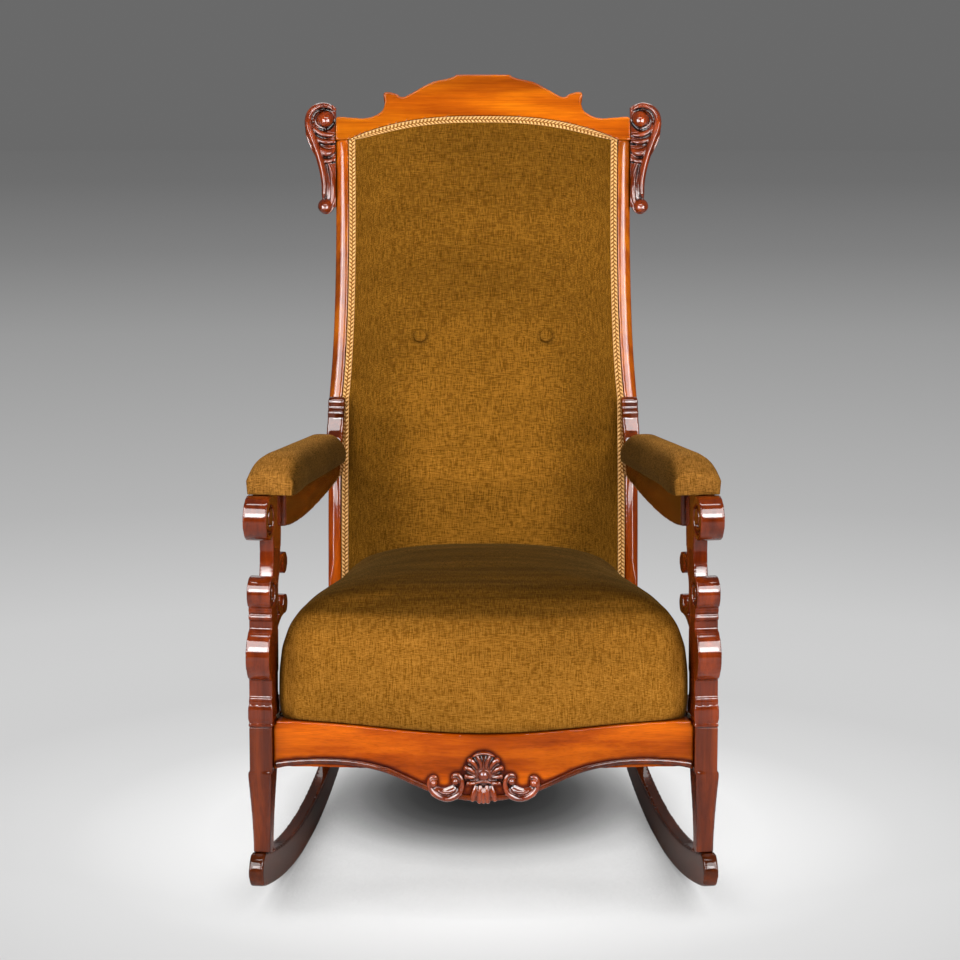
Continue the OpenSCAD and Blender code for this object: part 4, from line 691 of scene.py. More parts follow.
# %% [markdown]
# The back's shape is shared by several pieces: the posts' faces are upright up to a knee above the
# seat and then bend back in an S, and the opening between the posts is waisted, with an arched top.
# These few functions repeat that shape from the chair's own sizes, so that cloth and braid fit it.

# %% The back's shape
SEAT_DEPTH = 0.496
FACE_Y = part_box("back_post_left")[0].y - SEAT_DEPTH
RAIL_TOP = 0.252
POST_TOP = 0.977
POST_RAKE = 0.201
KNEE = RAIL_TOP + (POST_TOP - RAIL_TOP) * 0.1
POST_SPREAD = 0.452
POST_WAIST = 0.008
POST_SHOW = 0.020
CREST_HEIGHT = 0.106
GIMP_WIDTH = 0.0098


def bezier(controls, t):
    """A cubic Bezier curve through an array of four control points, at an array of shares t."""
    t = np.asarray(t)[:, None]
    a, b, c, d = np.asarray(controls, float)
    return (1 - t) ** 3 * a + 3 * (1 - t) ** 2 * t * b + 3 * (1 - t) * t * t * c + t ** 3 * d


STILE = bezier([(0, 0), (0, 0.3), (0.56, 0.68), (1, 1)], np.linspace(0, 1, 241))
STILE = STILE * (POST_RAKE, POST_TOP - KNEE) + (FACE_Y + SEAT_DEPTH, KNEE)
CREST_TILT = math.atan2(0.44 * POST_RAKE, 0.32 * (POST_TOP - KNEE))


def stile_y(z):
    """How far back the posts' faces stand at a height: upright, then the curve, then straight on."""
    z = np.asarray(z, float)
    above = np.maximum(z - POST_TOP, 0) * math.tan(CREST_TILT)
    return np.interp(z, STILE[:, 1], STILE[:, 0]) + above


WAIST = bezier([(1, 0.43), (1 - 0.8 * POST_WAIST / (POST_SPREAD / 2), 0.52),
                (1 - 1.3 * POST_WAIST / (POST_SPREAD / 2), 0.68),
                (1 - 0.55 * POST_WAIST / (POST_SPREAD / 2), 1)], np.linspace(0, 1, 121))


def opening_side(z):
    """Half the opening's width at a height: the posts' outer line less the wood that shows."""
    share = (np.asarray(z, float) - KNEE) / (POST_TOP - KNEE)
    return POST_SPREAD / 2 * np.interp(share, WAIST[:, 1], WAIST[:, 0]) - POST_SHOW


ARCH_RISE = CREST_HEIGHT * 0.357 * math.cos(CREST_TILT)


def arch(share):
    """How far the opening's top stands above the posts' tops, over its half width."""
    return ARCH_RISE * (1 - np.abs(share) ** 2.65)


STILE_ROLL = 0.007
STILE_SHOWN = 0.017


def roll_stile(piece):
    """Rounds a post's face towards its outer edge: it falls away as the square of the distance."""
    points = read_points(piece.data)
    height = points[:, 2]
    inside = opening_side(height) + POST_SHOW - np.abs(points[:, 0])
    behind = np.clip(1 - (points[:, 1] - stile_y(height)) / 0.022, 0, 1)
    fall = STILE_ROLL * np.clip(1 - inside / STILE_SHOWN, 0, 1) ** 2 * behind
    points[:, 1] += fall * smoothstep(KNEE, KNEE + 0.05, height)
    write_points(piece.data, points)


for side in ("left", "right"):
    roll_stile(worn["back_post_" + side])
print("back: tilt at the crest", round(math.degrees(CREST_TILT), 1), "degrees")

# %% [markdown]
# The back pad is a thin bag of stuffing: nailed all round under the braid, full in the middle, and
# pulled in by two buttons. Its front is a grid over the opening. The solver swells it between the
# nailed rim and the buttons, which gives the pull around each button for nothing.

# %% Back pad
PAD_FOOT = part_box("back_pad")[0].z
PAD_DEPTH = 0.030
PAD_EDGE = 0.006
PAD_FULLNESS = 0.018
PAD_BACK = 0.002
BUTTON_X = 0.092
BUTTON_Z = 0.694
BUTTON_RADIUS = 0.009
PAD_ROWS = 124
PAD_COLUMNS = 73


def pad_place(u, v):
    """Place on the opening: u from -1 to 1 across, v from 0 at the foot to 1 along the arched top."""
    z = PAD_FOOT + v * (POST_TOP - PAD_FOOT)
    x = u * (opening_side(z) - 0.0004)
    return x, z + arch(u) * smoothstep(0.5, 1.0, v)


def pad_edge_distance(u, v):
    """How far a place on the opening lies in from its nearest edge."""
    x, z = pad_place(u, v)
    top = POST_TOP + arch(u)
    side = opening_side(np.minimum(z, POST_TOP)) - np.abs(x)
    return np.minimum(side, np.minimum(z - PAD_FOOT, top - z))


def back_pad():
    """The back pad as a front and a back grid; the front swells with the distance from its edge."""
    u, v = np.meshgrid(np.sin(np.linspace(-1, 1, PAD_COLUMNS) * np.pi / 2 * 0.9) / math.sin(
        np.pi / 2 * 0.9), np.linspace(0, 1, PAD_ROWS))
    x, z = pad_place(u, v)
    inside = np.maximum(pad_edge_distance(u, v) - GIMP_WIDTH, 0)
    rise = PAD_EDGE * (1 - np.exp(-inside / 0.004)) + PAD_FULLNESS * (1 - np.exp(-inside / 0.05))
    to_button = np.hypot(np.abs(x) - BUTTON_X, z - BUTTON_Z)
    rise = rise - 0.0015 * np.exp(-(to_button / 0.014) ** 2)
    front = np.stack([x, stile_y(z) + 0.0008 - rise, z], -1)
    rear = np.stack([x, stile_y(z) + PAD_BACK, z], -1)
    piece = shells("back_pad_velvet", [(front, rear)], back_velvet)
    held = np.ones(2 * u.size, bool)
    held[:u.size] = ((inside <= 0) | (to_button < BUTTON_RADIUS)).ravel()
    inflate(piece, held, 0.016)
    return finish_soft(piece, "back_pad")


print("back pad faces:", len(back_pad().data.polygons))

# %% [markdown]
# The braid hides the nails. It is a narrow woven band, glued round the opening. Its surface is a grid
# along the opening's edge and across the band; the woven zigzag is worked out once and serves both as
# relief and, through an attribute, as colour. That colour is painted shade, darkest in the gaps
# between threads.

# %% Braid
THREAD_PITCH = 0.0056


def braid_material():
    """Golden braid: the attribute woven is 1 on a thread's back and 0 between threads, and the colour
    darkens towards 0 as painted shade in the gaps.
    """
    material, shader = new_material("braid")
    woven = add_node(material, "ShaderNodeAttribute", attribute_name="woven")
    # Painted shade: the colour is darkest in the gaps between threads.
    colour = ramp(material, woven.outputs["Fac"], [(0.10, (0.20, 0.075, 0.012)),
                  (0.45, (0.52, 0.25, 0.075)), (0.85, (0.84, 0.50, 0.20))])
    fibres = stretched_noise(material, 1500.0, (1.0, 1.0, 1.0), 1.0)
    shade = ramp(material, fibres, [(0.35, grey(0.8)), (0.65, grey(1.1))])
    colour = times(material, colour, shade)
    wire(material, colour, shader.inputs["Base Color"])
    shader.inputs["Roughness"].default_value = 0.7
    shader.inputs["Specular IOR Level"].default_value = 0.0
    shader.inputs["Sheen Weight"].default_value = 0.05
    return material


def opening_edge(inset, count):
    """The opening's outline at an array of insets: up the right side, over the arch, down the left."""
    low = PAD_FOOT + (POST_TOP - PAD_FOOT) * np.linspace(0, 1, count)
    share = 1 - np.linspace(0, 1, count // 3 + 1)[1:]
    side_x = opening_side(low)[:, None] - inset
    side_z = np.broadcast_to(low[:, None], side_x.shape)
    top_x = share[:, None] * (opening_side(POST_TOP) - inset)
    top_z = POST_TOP + arch(share)[:, None] - inset * (1 - share[:, None] ** 6)
    half = np.stack([np.concatenate([side_x, top_x]), np.concatenate([side_z, top_z])], -1)
    return np.concatenate([half, half[-2::-1] * (-1, 1)])


def back_braid():
    """The braid's face over a flat back, with the zigzag of its threads raised from it."""
    across = np.linspace(0, 1, 17)
    edge = opening_edge(across * GIMP_WIDTH, 900)
    steps = np.linalg.norm(np.diff(edge[:, 8], axis=0), axis=1)
    along = np.concatenate([[0], np.cumsum(steps)])[:, None]
    turn = along / THREAD_PITCH + 1.3 * np.abs(across - 0.5) + 0.5 * (across > 0.5)
    zigzag = np.abs(np.mod(turn, 1) - 0.5) * 2
    woven = smoothstep(0.25, 0.75, zigzag) * smoothstep(0, 0.12, np.abs(across - 0.5))
    cords = np.exp(-((across - 0.07) / 0.06) ** 2) + np.exp(-((across - 0.93) / 0.06) ** 2)
    woven = np.clip(woven * (1 - cords) + cords * (0.6 + 0.4 * np.cos(2 * np.pi * along / 0.002)), 0, 1)
    height = 0.0008 + 0.0006 * woven
    height[:, 0] = height[:, -1] = 0.0001
    x, z = edge[..., 0], edge[..., 1]
    face = np.stack([x, stile_y(z) - height, z], -1)
    rear = np.stack([x, stile_y(z) + 0 * height, z], -1)
    piece = shells("braid_band", [(face, rear)], braid_material())
    values = np.concatenate([woven.ravel(), woven.ravel()]).astype(np.float32)
    piece.data.attributes.new("woven", "FLOAT", "POINT").data.foreach_set("value", values)
    return stand_for(piece, "back_gimp")


print("braid faces:", len(back_braid().data.polygons))

# %% [markdown]
# Carving is built as the carver sees it: as strokes. Each stroke is a ridge with a round back that
# follows a smooth line over the wood, thick in the middle and thin at its ends, and a ball is a
# stroke of almost no length. All strokes of a carving overlap, so one rebuild from voxels joins them
# into a single closed surface with soft valleys. Drawing relief into a flat grid would be another
# way, but it can't undercut a curl or wrap the edge of the wood.

# %% Strokes
STROKE_STEPS = 41
STROKE_SIDES = 14


def smooth_path(points, count=STROKE_STEPS):
    """A path through the points: each piece is a cubic whose slopes come from the neighbours."""
    points = np.asarray(points, float)
    before = np.vstack([2 * points[0] - points[1], points[:-1]])
    after = np.vstack([points[1:], 2 * points[-1] - points[-2]])
    slope = (after - before) / 2
    t = np.linspace(0, len(points) - 1 - 1e-9, count)
    k = t.astype(int)
    f = (t - k)[:, None]
    return ((2 * f ** 3 - 3 * f ** 2 + 1) * points[k] + (f ** 3 - 2 * f ** 2 + f) * slope[k]
            + (3 * f ** 2 - 2 * f ** 3) * points[k + 1] + (f ** 3 - f ** 2) * slope[k + 1])


def stroke(surface, points, wide, high, ends=0.35):
    """A ridge over a surface y = surface(x, z): rings of half width w and height h along a path.

    The width follows the square root of a sine from end to end, so that the tips are round; ends is
    the share of the full width that is left near a tip. The back of each ring lies in the wood.
    """
    path = smooth_path(points)
    t = np.linspace(0, 1, len(path))
    ahead = np.gradient(path, axis=0)
    ahead /= np.maximum(np.linalg.norm(ahead, axis=1, keepdims=True), 1e-12)
    tip = np.sqrt(np.clip(np.minimum(t, 1 - t) * 12, 0, 1))
    body = (ends + (1 - ends) * np.sin(np.pi * t)) * tip
    angle = np.linspace(0, 2 * np.pi, STROKE_SIDES + 1)[:-1]
    lift = np.where(np.sin(angle) > 0, np.sin(angle), 0.25 * np.sin(angle))
    reach = wide * body[:, None] * np.cos(angle)
    x = path[:, :1] - ahead[:, 1:] * reach
    z = path[:, 1:] + ahead[:, :1] * reach
    y = surface(x, z) - high * body[:, None] * lift
    return np.stack([x, y, z], -1)


def ball(surface, centre, radius, high):
    """A round boss: the stroke of a very short path."""
    x, z = centre
    tilt = np.linspace(-np.pi / 2, np.pi / 2, 17)[:, None]
    turn = np.linspace(0, 2 * np.pi, 25)[:-1]
    across = radius * np.cos(tilt) * np.cos(turn)
    up = radius * np.cos(tilt) * np.sin(turn)
    out = high * np.where(tilt > 0, np.sin(tilt), 0.3 * np.sin(tilt))
    y = surface(x + across, z + up) - out
    return np.stack([x + across, y, z + up], -1)


def carved(name, forms, node, voxel, with_solid=False):
    """Joins closed rings of points, and the solid where asked, into one carved surface."""
    points, faces, start = [], [], 0
    for rings in forms:
        rows, columns = rings.shape[:2]
        index = start + np.arange(rows * columns).reshape(rows, columns)
        around = np.roll(index, -1, axis=1)
        quads = np.stack([index[:-1], around[:-1], around[1:], index[1:]], -1).reshape(-1, 4)
        points.append(rings.reshape(-1, 3))
        faces += quads.tolist() + [index[0, ::-1].tolist(), index[-1].tolist()]
        start += rows * columns
    points = np.concatenate(points)
    if with_solid:
        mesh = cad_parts[node].data
        solid = read_points(mesh)
        corners = np.empty(len(mesh.loops), int)
        mesh.loops.foreach_get("vertex_index", corners)
        faces += (corners.reshape(-1, 3) + start).tolist()
        points = np.concatenate([points, solid])
    piece = make_piece(name, points, faces, carved_wood)
    worn_down(piece, 0.005 * MM, voxel, 2, 0.5)
    return stand_for(piece, node)


print("stroke helpers ready")

# %% Ears
EAR_SET = 0.0042
EAR_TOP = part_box("ear_scroll_right")[1].z
EAR_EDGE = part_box("ear_scroll_right")[0].x + 0.0022


def ear_face(x, z):
    """The ear's face: the posts' curve, set back a little, at the same depth for every x."""
    return stile_y(z) + EAR_SET


def ear_at(points, side):
    """Points given as millimetres outwards from the post and down from the ear's top."""
    points = np.asarray(points, float) * MM
    return np.column_stack([side * (EAR_EDGE + points[:, 0]), EAR_TOP - points[:, 1]])


EAR_RIM = [(2, 13), (10, 6), (21, 4), (32, 8), (39, 16), (41.5, 27), (39.5, 39), (35, 50), (30, 62),
           (25, 75), (21, 88), (18, 100), (16, 112), (15, 124), (15.5, 135), (17, 144)]
EAR_FOLDS = [([(34, 27), (31, 39), (21, 46), (9, 48), (0, 46)], 4.4, 8.0),
             ([(34, 43), (28, 53), (18, 57.5), (8, 58), (0, 55)], 4.2, 7.6),
             ([(30, 58), (24, 69), (15, 74), (7, 73), (0, 67)], 6.6, 10.0),
             ([(25, 78), (17, 85), (8, 86), (0, 80)], 4.0, 6.4),
             ([(13, 84), (8, 95), (4.5, 108), (3, 122), (3, 136), (5, 148), (8, 156)], 4.6, 6.4),
             ([(18, 90), (12, 106), (9, 122), (9.5, 138), (12, 146)], 3.4, 4.6)]


def ear(side):
    """A carved ear: a rim that rolls round a boss, crescent folds, a stem and a ball at its foot."""
    forms = [stroke(ear_face, ear_at(EAR_RIM, side), 0.0062, 0.0125, 0.62)]
    for path, wide, high in EAR_FOLDS:
        forms.append(stroke(ear_face, ear_at(path, side), wide * MM, high * MM, 0.3))
    boss, foot = ear_at([(15, 24), (14.0, 152.0)], side)
    forms.append(ball(ear_face, boss, 0.0128, 0.0150))
    forms.append(ball(ear_face, foot, 0.0108, 0.0120))
    word = "right" if side > 0 else "left"
    return carved(f"carved_ear_{word}", forms, f"ear_scroll_{word}", 0.75 * MM, True)


ears = [ear(-1), ear(1)]
print("ear faces:", [len(piece.data.polygons) for piece in ears])

# %% Carving on the apron
RAIL_SETBACK = 0.0123
RAIL_HALF = 0.2665
FRONT_BOW = 0.022
APRON_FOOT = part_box("apron_bead")[0].z


def hump(share):
    """1 in the middle and 0 at both ends, as half a cosine wave."""
    return (1 + np.cos(np.pi * np.clip(share, -1, 1))) / 2


def rail_face(x, z):
    """The front rail's bowed face."""
    return FACE_Y + RAIL_SETBACK - FRONT_BOW * hump(x / RAIL_HALF) + 0 * z


def apron_at(points, side=1):
    """Points given as millimetres from the middle and up from the apron's foot."""
    points = np.asarray(points, float) * MM
    return np.column_stack([side * points[:, 0], APRON_FOOT + points[:, 1]])


C_SCROLL = [(41.5, 27.5), (39, 33), (33, 34.5), (28.2, 30), (27.4, 21), (31, 10.5), (40, 4.6),
            (50, 3.8), (60, 8.4), (67, 16), (68.5, 24.5), (65, 30.5), (60, 30.5), (57.5, 26)]
INNER_RIDGE = [(34.5, 19), (38.5, 13.5), (45, 11), (53, 11.5), (59, 15.5)]
LEAVES = [([(3, 40), (4, 50), (7, 58), (4, 60)], 3.8, 7.0),
          ([(7, 40), (11, 49), (17, 54), (20, 50)], 4.0, 7.4),
          ([(9, 36), (15, 41), (22, 44), (24, 39)], 3.8, 7.0),
          ([(9, 31), (16, 32), (22, 33), (23, 28)], 3.6, 6.6),
          ([(8, 27), (14, 24), (20, 24), (21, 20)], 3.4, 6.0)]
CROWN = [(-15, 57.5), (-8, 61.5), (0, 63), (8, 61.5), (15, 57.5)]
FLUTES = [([(4, 24), (4.5, 10), (5.5, -3.6)], 5.4, 7.4), ([(9, 23), (12, 10), (15, -1.2)], 4.8, 6.2),
          ([(0, 20), (0, 8), (0, -3.8)], 4.0, 7.6)]


def scroll_carving(side):
    """An open C-scroll with a ball in each curl, over a low ground."""
    forms = [stroke(rail_face, apron_at(C_SCROLL, side), 0.0046, 0.0076, 0.42),
             stroke(rail_face, apron_at([(32, 17), (50, 9), (66, 14.5)], side), 0.0088, 0.0046, 0.8),
             stroke(rail_face, apron_at(INNER_RIDGE, side), 0.0022, 0.0070, 0.4),
             ball(rail_face, apron_at([(35.5, 26.5)], side)[0], 0.0058, 0.0092),
             ball(rail_face, apron_at([(63.5, 23.5)], side)[0], 0.0060, 0.0092)]
    word = "right" if side > 0 else "left"
    return carved(f"carved_scroll_{word}", forms, f"apron_scroll_{word}", 0.5 * MM)


def shell_carving():
    """A palmette of folded leaves round a boss, over a fluted tongue that laps the rail's foot."""
    forms = [ball(rail_face, (0, APRON_FOOT + 0.034), 0.0078, 0.0092),
             ball(rail_face, (0, APRON_FOOT + 0.040), 0.0215, 0.0030),
             stroke(rail_face, apron_at(CROWN), 0.0026, 0.0074, 0.6),
             stroke(rail_face, apron_at([(-15, 20.5), (-8, 25.5), (0, 27), (8, 25.5), (15, 20.5)]),
                    0.0026, 0.0080, 0.5)]
    for side in (-1, 1):
        for path, wide, high in LEAVES + FLUTES:
            forms.append(stroke(rail_face, apron_at(path, side), wide * MM, high * MM, 0.45))
    return carved("carved_palmette", forms, "apron_shell", 0.5 * MM)


carving = [scroll_carving(-1), scroll_carving(1), shell_carving()]
print("apron carving faces:", [len(piece.data.polygons) for piece in carving])

# %% [markdown]
# Nobody can wipe close to carving, so old polish and dust build up there and darken. The carving's
# points are counted in a grid of small cells, the grid is blurred, and the rail reads its own darkness
# from it as an attribute.

# %% Dark polish round the carving
STAIN_CELL = 1.5 * MM
STAIN_SPREAD = 3.2


def blurred(cells, reach):
    """A grid blurred by a bell curve of the given reach, in cells, along both axes."""
    steps = np.arange(-int(3 * reach), int(3 * reach) + 1)
    bell = np.exp(-(steps / reach) ** 2)
    for axis in (0, 1):
        cells = np.apply_along_axis(np.convolve, axis, cells, bell / bell.sum(), "same")
    return cells


def stain_rail(rail):
    """Writes the attribute stain: near 1 beside the carving and the bead, 0 away from them."""
    near = np.concatenate([read_points(p.data)[:, ::2] for p in carving + [worn["apron_bead"]]])
    low = near.min(0) - 0.03
    size = ((near.max(0) + 0.03 - low) / STAIN_CELL).astype(int) + 1
    cells = np.zeros(size)
    cells[tuple(((near - low) / STAIN_CELL).astype(int).T)] = 1
    cells = blurred(cells, STAIN_SPREAD)
    places = ((read_points(rail.data)[:, ::2] - low) / STAIN_CELL).astype(int)
    stain = smoothstep(0.04, 0.55, cells[tuple(np.clip(places, 0, size - 1).T)])
    rail.data.attributes.new("stain", "FLOAT", "POINT").data.foreach_set("value", stain)
    return stain


print("stained share of the rail:", round(float(stain_rail(worn["front_rail"]).mean()), 2))

# %% [markdown]
# The seat and the arm pads are deep, so a flat grid would crowd at their upright sides. Their grids
# are read as squares inside squares instead: a point's ring says how far it has come from the nailed
# rim up the side and over to the middle, and its place on the ring says which way it faces. The plan
# of each ring is a square whose corners are rounded by a power.

# %% Seat
RAIL_LIFT = 0.005
RAIL_DIP = 0.012
SEAT_FRONT = 0.009
SEAT_REAR = 0.470
SEAT_HALF_FRONT = 0.2652
SEAT_HALF_REAR = 0.2030
SEAT_RISE = 0.170
REAR_CROWN = 0.024
CORNER_POWER = 18.0
SEAT_GRID = 93
SEAT_PROFILE = np.array([(0.975, 0), (0.99, 0.03), (1, 0.16), (1, 0.38), (0.99, 0.56),
                         (0.96, 0.72), (0.91, 0.83), (0.82, 0.905), (0.64, 0.955), (0.42, 0.985),
                         (0.15, 1), (0, 1)])


def ring_and_place(u, v, power=CORNER_POWER):
    """The ring of a place on a square, 0 in the middle and 1 at the rim, and its rounded direction."""
    ring = np.maximum(np.abs(u), np.abs(v))
    safe = np.maximum(ring, 1e-9)
    du, dv = u / safe, v / safe
    long = np.maximum((np.abs(du) ** power + np.abs(dv) ** power) ** (1 / power), 1)
    return ring, du / long, dv / long


def along_profile(profile, ring, size):
    """Both columns of a profile over the share of its length that is left to the middle."""
    steps = np.hypot(*(np.diff(profile, axis=0) * size).T)
    run = 1 - np.concatenate([[0], np.cumsum(steps)]) / steps.sum()
    return (np.interp(ring, run[::-1], profile[::-1, 0]), np.interp(ring, run[::-1], profile[::-1, 1]))


def seat_place(scale, du, dv, rise):
    """Seat points over a scale of the plan, a direction and a rise; the front follows the bowed rail."""
    middle, half = (SEAT_FRONT + SEAT_REAR) / 2, (SEAT_REAR - SEAT_FRONT) / 2
    y = middle + half * dv * scale
    wide = SEAT_HALF_FRONT + (SEAT_HALF_REAR - SEAT_HALF_FRONT) * (y - SEAT_FRONT) / (2 * half)
    x = wide * du * scale
    front = np.clip(-1.2 * dv, 0, 1)
    y = y - FRONT_BOW * hump(x / RAIL_HALF) * front * scale
    edge = (RAIL_LIFT - RAIL_DIP * hump(x / RAIL_HALF)) * smoothstep(0.88, 0.99, -dv)
    return np.stack([x, FACE_Y + y, RAIL_TOP + 0.0008 + edge * (1 - rise) + SEAT_RISE * rise], -1)


def seat():
    """The seat's top swells; its underside is flat, with a hollow over the springs."""
    steps = np.linspace(-1, 1, SEAT_GRID)
    u, v = np.meshgrid(steps, steps)
    ring, du, dv = ring_and_place(u, v)
    scale, rise = along_profile(SEAT_PROFILE, ring, (0.24, SEAT_RISE))
    top = seat_place(scale, du, dv, rise)
    rear = smoothstep(-0.30, 0.0, top[..., 1])
    top[..., 2] -= REAR_CROWN * (np.abs(top[..., 0]) / SEAT_HALF_REAR) ** 2.2 * rise * rear
    under = seat_place(ring * 0.970, du, dv, 0 * ring)
    well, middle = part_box("seat_hessian")
    inside_x = abs(well.x) + 0.012 - np.abs(under[..., 0])
    inside_y = (middle.y - well.y) / 2 + 0.012 - np.abs(under[..., 1] - (middle.y + well.y) / 2)
    hollow = smoothstep(0, 0.010, inside_x) * smoothstep(0, 0.010, inside_y)
    under[..., 2] += hollow * (middle.z + 0.001 - under[..., 2])
    piece = shells("seat_velvet", [(top, under)], seat_velvet)
    held = np.ones(2 * u.size, bool)
    held[:u.size] = (ring > 0.985).ravel()
    inflate(piece, held, 0.003)
    points = read_points(piece.data)
    corner = np.abs(np.abs(points[:, 0]) - 0.246)
    fold = np.exp(-(corner / 0.0035) ** 2) * (points[:, 1] < FACE_Y + 0.03)
    fold *= smoothstep(0.40, 0.33, points[:, 2])
    fold[u.size:] = 0
    points[:, 1] += 0.0035 * fold
    write_points(piece.data, points)
    return finish_soft(piece, "seat_cushion")


print("seat faces:", len(seat().data.polygons))

# %% Arm pads
LEG_SPACING = 0.562
ARM_RISE = 0.296
ARM_HEIGHT = 0.054
SUPPORT_LEAN = math.radians(0.5)
ARM_TOP = RAIL_TOP + ARM_RISE
ARM_MIDDLE = ARM_TOP - ARM_HEIGHT / 2
LEAN_SHIFT = -(ARM_RISE - ARM_HEIGHT / 2) * math.tan(SUPPORT_LEAN)
ARM_REAR_X = float(opening_side(ARM_MIDDLE)) + POST_SHOW - 0.012
ARM_TOE = math.atan2(LEG_SPACING / 2 + LEAN_SHIFT - ARM_REAR_X, float(stile_y(ARM_MIDDLE)) - FACE_Y)
PAD_LENGTH = 0.436
ARM_PAD_WIDTH = 0.063
ARM_WIDTH = 0.030
PAD_LEVEL = 0.09
ARM_PAD_CROWN = 0.0425
ARM_FALL = ARM_HEIGHT * 0.36
PAD_WALL = 0.70
PAD_FULL = 1.09


def pad_cross(share):
    """Height share of the pad's section at a share of its half width: a squat dome."""
    lift = (np.sqrt(np.maximum(0, 1 - np.minimum(share, 1) ** 3.08)) + 0.342) / 1.342
    return lift ** 0.8


def pad_arch(t):
    """Height share along the pad: it climbs behind the front and rounds down at the rear."""
    rear = np.sqrt(np.clip(1 - np.maximum((t - 0.86) / 0.15, 0) ** 2, 0, 1))
    return (0.64 + 0.36 * np.sin(np.pi / 2 * np.minimum(t * 7, 1))) * rear


def arm_place(x, y, z, side):
    """Turns places along an arm, in metres from its front, into the chair's frame."""
    x = x + LEAN_SHIFT
    across = LEG_SPACING / 2 + x * math.cos(ARM_TOE) - y * math.sin(ARM_TOE)
    back = FACE_Y + x * math.sin(ARM_TOE) + y * math.cos(ARM_TOE)
    return np.stack([side * across, back, z], -1)


def arm_pad(name, side):
    """One pad: upright sides up to PAD_WALL of its rings, and a dome over the rest."""
    u, v = np.meshgrid(np.linspace(-1, 1, 35), np.linspace(-1, 1, 111))
    ring, du, dv = ring_and_place(u, v, 22.0)
    inner = np.minimum(ring / PAD_WALL, 1)
    climb = np.clip((1 - ring) / (1 - PAD_WALL), 0, 1)

    def plan(scale):
        """Share along the pad, half width, middle line and foot height at a scale of the plan."""
        t = 0.5 + 0.5 * dv * scale
        half = ARM_PAD_WIDTH / 2 * (1 - 0.22 * t) * (0.94 + 0.06 * np.sin(
            np.pi / 2 * np.minimum(t * 9, 1)))
        middle = -(ARM_PAD_WIDTH - ARM_WIDTH) * 0.41 * (1 - t / 2)
        fallen = np.clip((t * PAD_LENGTH - PAD_LEVEL) / (PAD_LENGTH - PAD_LEVEL), 0, 1)
        foot = ARM_TOP + 0.0004 - ARM_FALL * fallen
        return t, half, middle, foot

    t, half, middle, foot = plan(inner)
    height = ARM_PAD_CROWN * pad_arch(t) * pad_cross(np.abs(du * inner)) * climb
    shrink = 1 - 0.05 * (1 - climb) * (np.abs(du) > 0.5)
    top = arm_place(middle + half * du * inner * shrink * PAD_FULL, t * PAD_LENGTH, foot + height, side)
    t, half, middle, foot = plan(ring * 0.985)
    under = arm_place(middle + half * du * ring * 0.93 * PAD_FULL, t * PAD_LENGTH, foot, side)
    piece = shells(name, [(top, under)], pad_velvet)
    held = np.ones(2 * u.size, bool)
    held[:u.size] = (ring > 0.985).ravel()
    inflate(piece, held, 0.002)
    return finish_soft(piece, f"arm_pad_{'right' if side > 0 else 'left'}")


arm_pad("arm_velvet_left", -1)
arm_pad("arm_velvet_right", 1)
print("arms turn in by", round(math.degrees(ARM_TOE), 1), "degrees")

# %% [markdown]
# The rest of the upholstery is cloth stretched flat: the outside back, the coarse cloth under the
# padding, and the webbing that carries it. Each is a thin closed shell over a grid, because cloth
# that is nailed all round and pulled tight has no folds to simulate.

# %% Stretched cloth
CLOTH = 0.0012
STRAP_WIDTH = 0.050
STRAP_GAUGE = 0.002
STRAP_MARGIN = 0.0025


def declare_sheet(piece, node):
    """Attaches a stretched sheet to the root body and hides the solid it stands for."""
    stand_for(piece, node)
    return piece


def on_back(x, z, behind, thick):
    """A pair of grids over the back, the given distance behind the posts' faces."""
    y = stile_y(z) + behind
    return np.stack([x, y, z], -1), np.stack([x, y + thick, z], -1)


def back_cloth(node, behind, foot, wider, material):
    """Cloth over the whole opening, from a height up, wider than the opening by a margin."""
    u, v = np.meshgrid(np.linspace(-1, 1, 25), np.linspace(0, 1, 61))
    z = foot + v * (POST_TOP - foot)
    x = u * (opening_side(z) + wider)
    z = z + (arch(np.abs(u)) + min(wider, 0)) * smoothstep(0.55, 1.0, v)
    piece = shells(node + "_cloth", [on_back(x, z, behind, CLOTH)], material)
    return declare_sheet(piece, node)


back_cloth("outside_back", 0.030, RAIL_TOP + 0.002, 0.0120, back_velvet)
back_cloth("back_hessian", 0.0036, PAD_FOOT, -0.0025, jute)


def straps(node, pairs):
    """Webbing as one piece: a closed band for each pair of grids."""
    piece = shells(node + "_straps", pairs, jute)
    return declare_sheet(piece, node)


def back_straps():
    """Six level straps on the rebate's floor and three upright ones before them."""
    pairs, long = [], 0.0
    for row in np.linspace(KNEE + STRAP_WIDTH, POST_TOP - STRAP_WIDTH, 6):
        u, e = np.meshgrid(np.linspace(-1, 1, 21), np.linspace(-0.5, 0.5, 7))
        z = row + e * STRAP_WIDTH
        x = u * (opening_side(z) - STRAP_MARGIN)
        pairs.append(on_back(x, z, 0.007, STRAP_GAUGE - 0.0001))
        long += 2 * (opening_side(row) - STRAP_MARGIN)
    low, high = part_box("back_webbing")[0].z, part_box("back_webbing")[1].z
    for x in (-0.1, 0.0, 0.1):
        e, z = np.meshgrid(np.linspace(-0.5, 0.5, 7), np.linspace(low + 0.002, high - 0.012, 61))
        pairs.append(on_back(x + e * STRAP_WIDTH, z, 0.005, STRAP_GAUGE - 0.0001))
        long += high - low
    return straps("back_webbing", pairs)


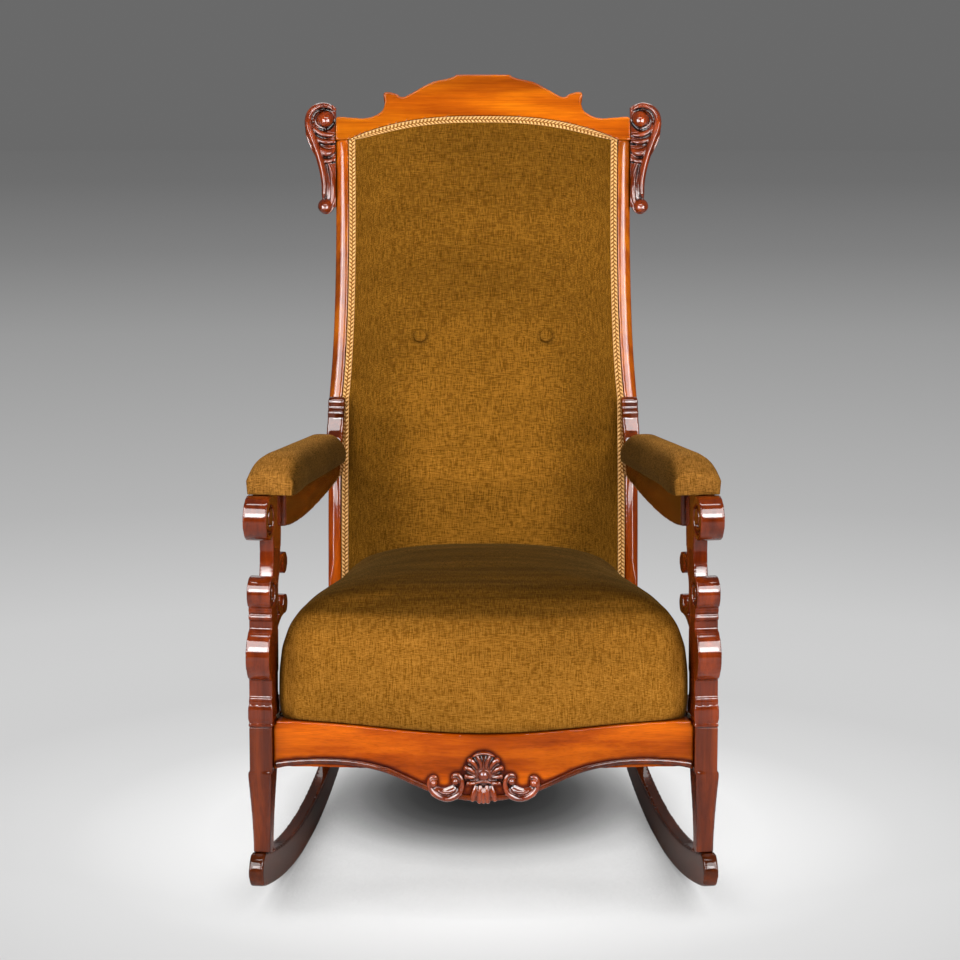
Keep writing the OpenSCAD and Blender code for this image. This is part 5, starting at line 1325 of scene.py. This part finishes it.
def seat_straps():
    """Five straps each way under the seat, woven over and under each other."""
    low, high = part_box("seat_webbing")
    level = RAIL_TOP - 0.054
    lengths = (np.arange(5) - 2) * (2 * SEAT_HALF_REAR - STRAP_WIDTH) / 5
    crosses = 0.0825 + 0.094 * np.arange(5)
    pairs, total = [], 0.0
    for k in range(5):
        for runs_back in (True, False):
            middles = crosses if runs_back else lengths
            if runs_back:
                ends = (0.030 - FRONT_BOW * float(hump((abs(lengths[k]) + 0.025) / RAIL_HALF)),
                        high.y - FACE_Y - 0.001)
            else:
                half = float(np.interp(crosses[k], [0.045, 0.496], [0.286, 0.219])) - 0.008
                ends = (-half, half)
            down = (np.arange(5) + k + (0 if runs_back else 1)) % 2
            stops = [ends[0]] + [m + e for m in middles for e in (-0.0275, 0.0275)] + [ends[1]]
            heights = [0] + [-0.0022 * d for d in down for _ in (0, 1)] + [0]
            along, e = np.meshgrid(np.linspace(*ends, 121), np.linspace(-0.5, 0.5, 5))
            z = level + np.interp(along, stops, heights)
            side = e * STRAP_WIDTH
            x, y = (lengths[k] + side, along) if runs_back else (along, crosses[k] + side)
            top = np.stack([x, FACE_Y + y, z], -1)
            pairs.append((top, top - (0, 0, STRAP_GAUGE)))
            total += ends[1] - ends[0]
    return straps("seat_webbing", pairs)


def spring_cover():
    """The coarse cloth over the springs."""
    low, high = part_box("seat_hessian")
    x, y = np.meshgrid(np.linspace(low.x, high.x, 31), np.linspace(low.y, high.y, 31))
    top = np.stack([x, y, 0 * x + high.z], -1)
    piece = shells("seat_hessian_cloth", [(top, top - (0, 0, CLOTH))], jute)
    stand_for(piece, "seat_hessian")
    return piece


back_straps()
seat_straps()
spring_cover()
print("stretched cloth ready")

# %% [markdown]
# Two buttons, and the hardware and inner blocks that keep their measured shape: each only needs a
# material. A steel part is dull and slightly rough, as old springs and screws are.

# %% Buttons and hidden parts
steel, steel_shader = new_material("steel")
steel_shader.inputs["Metallic"].default_value = 1.0
steel_shader.inputs["Roughness"].default_value = 0.42
tarnish = ramp(steel, stretched_noise(steel, 60.0, (1, 1, 1)), [(0.3, (0.22, 0.20, 0.18)),
               (0.7, (0.45, 0.44, 0.42))])
wire(steel, tarnish, steel_shader.inputs["Base Color"])
for side in ("left", "right"):
    button = soften(f"back_button_{side}", back_velvet, 0.6 * MM, 6)
HIDDEN = {"rocker_pegs": beech_x, "back_seat_rail": stained_x, "lower_back_rail": stained_x,
          "corner_blocks": beech_x, "corner_screws": steel, "arm_screws": steel,
          "seat_springs": steel}
for node, material in HIDDEN.items():
    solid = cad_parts[node]
    solid.data.materials.clear()
    solid.data.materials.append(material)
print("hidden parts:", len(HIDDEN))
